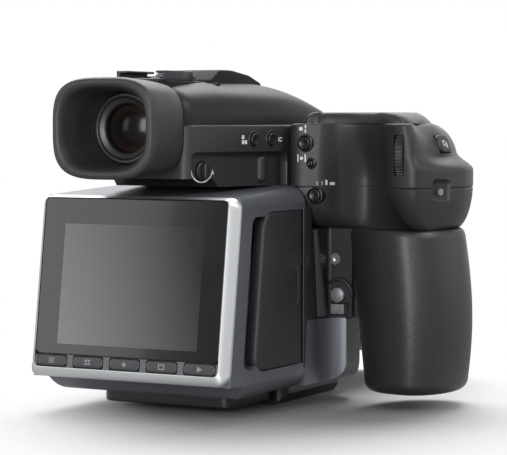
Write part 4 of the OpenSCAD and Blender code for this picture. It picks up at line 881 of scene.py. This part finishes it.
# flash catch: a disc with a finger bar, and an arc with two arrow heads printed under it
catch = moved(side, *catchAt)
disc = placed(turned(eased([(3.6, -4.1), (3.6, -2.3), (3.2, -2), (0.1, -2)], 0.2, 4), 56), catch)
fingerBar = placed(plate(roundBox(2, 6.4, 0.9, 6), softRows(-2.2, -0.3, 0.5)), catch)
add("catchKnob", [disc, fingerBar], "flash_catch", "smoothAbs", "black_cover", "flash_catch", sharp=50)
tips = np.radians([212, 328])
heads = [np.array([[0, 1.3], [-0.9, -0.6], [0.9, -0.6]]) + 7.4 * np.array([np.cos(v), np.sin(v)]) for v in tips]
marks("catchMark", [arcMark(7.15, 7.65, 214, 326), *heads], catch, -3.0, at=(0, 3.2))

# two round keys on the flank with plain printed marks, and a rib in the recess below them
collar = eased([(2.78, -2), (2.78, 0.05), (2.95, 0.3), (3.3, 0.25), (3.5, -0.1), (3.5, -2)], 0.12, 4)
for name, at in flankKeys.items():
    spot = moved(side, *at)
    add(f"{name}.cap", roundKey(spot, 2.45, -2.2, 0.9), name, "smoothAbs", "black_cover", name, sharp=50)
    ring = placed(turned(collar, 56), spot)
    add(f"{name}.collar", ring, "camera", "mouldedAbs", "black_plastic", loop=True, sharp=50)
squares = bars((-0.85, 0.95, 1.3, 1.5), (0.85, -0.95, 1.3, 1.5), (-0.85, -0.95, 1.3, 1.5))
marks("flankMark", squares, side, 0.05, at=(36.4, 103.9))
strokes = bars((-0.7, 0, 0.5, 1.7), (0.6, 0.6, 1.3, 0.45), (0.6, -0.6, 1.3, 0.45))
marks("flankMarkFront", strokes, side, 0.05, at=(58.6, 103.9))
t = np.linspace(0, np.pi, 17)[None]
z = np.linspace(-5, 5, 21)[:, None]
slim = 0.55 + 0.45 * dome((np.abs(z) - 3.4) / 1.6)
x = 2.3 * slim * np.cos(t)
rib = surface(x, z, 2.0 * slim * np.sin(t) - 0.2)
add("flankRib", placed(rib, side, (50.5, 92.6, -3)), "camera", "mouldedAbs", "black_plastic", sharp=60)

# dioptre dial on the far flank: a drum with 24 shallow flutes, whose rows are drawn in by so much at each depth
dial = {"r": 5.75, "flutes": 24, "deep": 0.22, "drawn": (0, 0, 0.15, 0.5, 2.5), "depth": (-3, 0.9, 1.25, 1.4, 1.25)}
t = roundTurn(144)
radius = (dial["r"] + dial["deep"] * np.cos(dial["flutes"] * t))[None] - np.array(dial["drawn"])[:, None]
drum = surface(radius * np.cos(t), radius * np.sin(t), np.array(dial["depth"])[:, None])
drum = placed(drum, moved(farSide, *dialAt))
add("dioptreDrum", drum, "dioptre_dial", "smoothAbs", "black_cover", "dioptre_dial", sharp=50)
print("finder made")

# bright frame: an outer rounded box blended into the glass opening, falling back from the glass's edge half on a
# straight slope and half on a quarter ellipse
bezel = {"outer": (86, 69.6, 4.5), "inner": (80, 64.6, 2), "innerUp": 1.1, "drop": 4.75, "straight": 0.45, "flat": 0.66}
outer = roundBox(*bezel["outer"], 12)
inner = roundBox(*bezel["inner"], 12) + [0, bezel["innerUp"]]
u = np.sin(np.linspace(np.pi / 2, 0, 22))
curve = bezel["straight"] * u + (1 - bezel["straight"]) * (1 - np.sqrt(1 - u ** 2))
fall = np.stack([0.965 * (1 - u), -bezel["drop"] * curve], -1) + [0.01, -0.02]
frameBand = band(outer, inner, np.concatenate([[[0, -5]], fall, [[0.99, -0.06], [1, -0.3], [1, -5]]]))
frameBand[1:-1, :, 2] *= 1 - bezel["flat"] * ease(-29, -34.6, outer[:, 1])  # the bar under the keys lies flatter
add("backFrame", placed(frameBand, rear), "camera", "blastedAluminium", "silver", "back_frame", loop=True, sharp=30)

# cover glass: a printed border round the display window, both flush
glass = {"size": (79.8, 59.4, 1.9), "mid": 3.6, "window": (61.0, 45.75), "windowMid": 0.6,
         "profile": [[0, -1.7], [0, -0.55], [0.008, -0.4], [0.02, -0.33], [0.04, -0.3], [0.06, -0.3], [0.97, -0.3],
                     [1, -0.3], [1, -1.7]]}
outer = roundBox(*glass["size"], 10) + [0, glass["mid"]]
inner = roundBox(*glass["window"], 0.3, 10) + [0, glass["windowMid"]]
border = placed(band(outer, inner, glass["profile"]), rear)
add("glassBorder", border, "camera", "printedGlass", "cover_glass", "screen_glass", loop=True, sharp=30)
window = roundBox(*(size - 0.04 for size in glass["window"]), 0.28, 6) + [0, glass["windowMid"]]
window = placed(plate(window, [(0, -4.7), (0, -0.32)]), rear)
add("displayWindow", window, "camera", "displayGlass", "display", "display_panel", sharp=30)

# screen keys: flat bars with eased edges and plain icons printed on them
keys = {"size": (13.1, 4.2, 1.5), "pitch": 16.1, "mid": -28.7}
points = np.arange(10)
starR = np.where(points % 2, 0.55, 1.25)
star = np.stack([starR * np.sin(points * np.pi / 5), starR * np.cos(points * np.pi / 5)], -1)[::-1]
icons = [bars((0, 0.8, 2.4, 0.4), (0, 0, 2.4, 0.4), (0, -0.8, 2.4, 0.4)),
         bars((-0.7, 0.6, 1, 0.8), (0.7, 0.6, 1, 0.8), (-0.7, -0.6, 1, 0.8), (0.7, -0.6, 1, 0.8)), [star],
         bars((0, 0.85, 2.6, 0.4), (0, -0.85, 2.6, 0.4), (-1.1, 0, 0.4, 1.3), (1.1, 0, 0.4, 1.3)),
         [np.array([[-0.8, -1.1], [1.3, 0], [-0.8, 1.1]])]]
rows = np.concatenate([softRows(-6.1, -0.12, 0.4), [(0.9, -0.08), (1.4, -0.06)]])
cap = plate(roundBox(*keys["size"], 8), rows)
for i, icon in enumerate(icons):
    at, key = ((i - 2) * keys["pitch"], keys["mid"]), f"screen_key_{i + 1}"
    add(f"screenKey{i + 1}", placed(cap, rear, (*at, 0)), key, "keyAbs", "black_cover", key, sharp=50)
    marks(f"screenIcon{i + 1}", icon, rear, -0.06, "greyInk", key, at)

# card door: its side view with rounded rear corners and a soft outer edge, a hinge edge, and a fixed strip before it
door = {"low": 17.7, "high": 76.7, "depth": 22.8, "front": -29.2, "face": 43.2, "hingeAt": (40.9, -29.2, 0),
        "hinge": [(1.2, 15.8), (1.2, 17.7), (2.3, 17.7), (2.3, 76.7), (1.2, 76.7), (1.2, 78.6)],
        "strip": [(-26.6, 15.4), (-25.3, 15.4), (-23.6, 34), (-19.4, 70), (-19.4, 78), (-26.6, 78)]}
# the rear edge keeps parallel to the leaning rear face, at the door's depth from it
corners = [(rear["at"][1] + door["depth"] / math.cos(lean) + (z - rear["at"][2]) * math.tan(lean), z)
           for z in (door["high"], door["low"])]
outline = eased([(door["front"], door["high"]), *corners, (door["front"], door["low"])], 6, 9)
spot = {**spots["right"], "at": (door["face"], 0, 0)}
doorPlate = placed(plate(outline, softRows(-4.6, 0, 0.9, 0.4)), spot)
add("doorPlate", doorPlate, "card_door", "doorAbs", "black_cover", "card_door", sharp=40)
hinge = placed(turned(eased(door["hinge"], 0.3, 4), 40), {**top, "at": door["hingeAt"]})
add("doorHinge", hinge, "card_door", "doorAbs", "black_cover", sharp=40)
# grey lines on the door: painted highlight along the edges of a latch tab that is not modelled
paintedNotchEdge = bars((-31.2, 48.2, 0.35, 13.4), (-32.6, 54.8, 2.6, 0.35), (-32.6, 41.6, 2.6, 0.35))
marks("doorNotchPaintedEdge", paintedNotchEdge, spot, 0.0, "greyPlastic", "card_door", slotName="black_cover")
strip = placed(plate(eased(door["strip"], 1.2, 5, True), softRows(-3, 0.1, 0.5)), spot)
add("hingeStrip", strip, "camera", "doorAbs", "black_cover", sharp=40)
print("digital back made")

# release button with its crescent guard: a round that follows an arc and grows slim at both ends
guard = {"r": 6.1, "wide": 0.9, "tall": 1.3, "from": 150, "turn": 165, "slim": 0.35}
spot = {**spots["back"], "at": (47.7, -5, 42.4)}
cap = roundKey(spot, 3, -2.6, 1.6, -0.35)
add("backRelease", cap, "back_release", "satinSilver", "silver", "back_release", sharp=50)
t = np.linspace(0, 1, 40)[:, None]
turnGuard = np.radians(guard["from"] - guard["turn"] * t)
slim = guard["slim"] + (1 - guard["slim"]) * np.sin(np.pi * t) ** 0.6
loopTurn = roundTurn(16)
reach = guard["r"] + guard["wide"] * slim * np.cos(loopTurn)
rise = guard["tall"] * slim * np.sin(loopTurn) - 0.1
crescent = surface(reach * np.cos(turnGuard) * 0.98, reach * np.sin(turnGuard), rise)
add("releaseGuard", placed(crescent, spot), "camera", "mouldedAbs", "black_plastic", sharp=60)

# slanted ridge on the flank: a hump that rises slowly and falls quickly, wider and higher towards its foot
ridge = {"low": 34.2, "high": 68.6, "rear": -17.6, "slant": 3.2, "tall": 1.2, "grow": 1.8, "peak": 0.72, "face": 42.6}
z = np.linspace(ridge["low"], ridge["high"], 30)[:, None]
share = (ridge["high"] - z) / (ridge["high"] - ridge["low"])
y0, tall = ridge["rear"] + ridge["slant"] * share, ridge["tall"] + ridge["grow"] * share
u, peak = np.linspace(0, 1, 15)[None], ridge["peak"]
hump = np.where(u < peak, np.sin(u / peak * np.pi / 2) ** 1.2, dome((u - peak) / (1 - peak)))
x = ridge["face"] + 0.4 + (tall - 0.1) * hump - 0.3 * (hump < 0.02)
outside = surface(x, y0 + tall * 1.5 * u, z)
inside = surface(ridge["face"] - 0.4, np.concatenate([y0 + tall * 1.5, y0], 1), z)
add("flankRidge", np.concatenate([outside, inside], 1), "camera", "mouldedAbs", "black_plastic", sharp=40)
filler = placed(plate(roundBox(4.4, 22, 1, 5), [(0, 34), (0, 69.2)]), top, (55.4, 7.6, 0))
add("gripFiller", filler, "camera", "softRubber", "black_plastic")

# rounding of the body's own solids, in mm
edges = {"body_shell": 0.5, "back_housing": 0.6, "side_fairing": 0.7, "base_plate": 0.5, "back_foot": 0.6,
         "left_cover": 0.6, "lens_mount": 0.3, "lock_slide": 0.12, "lens_release": 0.4, "mirror_button": 0.4}
for name, width in edges.items():
    roundEdges(nodes[name], width)
print("body dressed")

# lens: turned tubes as (radius, height), a focus ring with sixty ribs as (height, radius, share of a rib), thread lines
# in the filter ring and a domed coated glass
tubes = {
    "barrel": [(20.2, 0.1), (36.5, 0.1), (36.5, 3), (39.6, 5), (40.1, 13), (39.8, 13.3), (39.8, 13.9), (40.15, 14.2),
               (40.6, 21), (40.6, 26.6), (37, 26.6), (37, 56.9), (29, 56.9), (29, 34), (27, 34), (27, 30.6), (29, 30.6),
               (29, 14), (20.2, 12)],
    "ring": [[27, 37.06, 0], [27, 40.7, 0], [27.3, 41.0, 0], [29.6, 41.05, 0], [30.2, 41.15, 1], [30.6, 41.2, 1],
             [42, 41.2, 1], [53, 41.2, 1], [53.4, 41.15, 1], [54, 41.05, 0], [56.3, 41.0, 0], [56.6, 40.7, 0],
             [56.6, 37.06, 0]], "ribs": 60, "ribHigh": 0.75,
    "rim": [(28.9, 57), (41.4, 57), (41.4, 68), (40, 69.9), (33.6, 69.9)],
    "rimIn": [(33.4, 65), (29.6, 63), (28.9, 63)], "threadR": 33.5, "threadDeep": 0.22,
    "glassR": 28.8, "glassLow": 57.6, "glassRim": 60.6, "glassDome": 3.5}
barrel = placed(turned(eased(tubes["barrel"], 0.35, 4, True), 144), lens)
add("lensBarrel", barrel, "camera", "satinBlackMetal", "black_metal", "lens_barrel", loop=True, sharp=34)
t = roundTurn(tubes["ribs"] * 12)
high, radius, share = np.array(tubes["ring"]).T[..., None]
radius = radius + share * tubes["ribHigh"] * (0.5 + 0.5 * np.tanh(3 * np.cos(tubes["ribs"] * t)))[None]
ring = placed(surface(radius * np.cos(t), radius * np.sin(t), high), lens)
add("focusRing", ring, "focus_ring", "gripRubber", "grip_rubber", "focus_ring", loop=True, sharp=40)
zig = np.stack([tubes["threadR"] + tubes["threadDeep"] * (np.arange(13) % 2), np.linspace(69.6, 65.2, 13)], -1)
rim = placed(turned(np.concatenate([tubes["rim"], zig, tubes["rimIn"]]), 144), lens)
add("filterRing", rim, "camera", "satinBlackMetal", "black_metal", "filter_ring", loop=True, sharp=30)
inward = np.linspace(1, 0.01, 30)[1:]
front = np.stack([tubes["glassR"] * inward, tubes["glassRim"] + tubes["glassDome"] * (1 - inward ** 2)], -1)
front = np.concatenate([[(tubes["glassR"], tubes["glassLow"]), (tubes["glassR"], tubes["glassRim"])], front])
frontGlass = placed(turned(front, 128), lens)
add("frontGlass", frontGlass, "camera", "frontGlass", "optical_glass", "front_element", sharp=40)
marks("lensLine", bars((0, 0, 0.5, 3.4)), {**top, "at": (0, 0, 49)}, 40.62, at=(0, 54.6))
print("lens made")
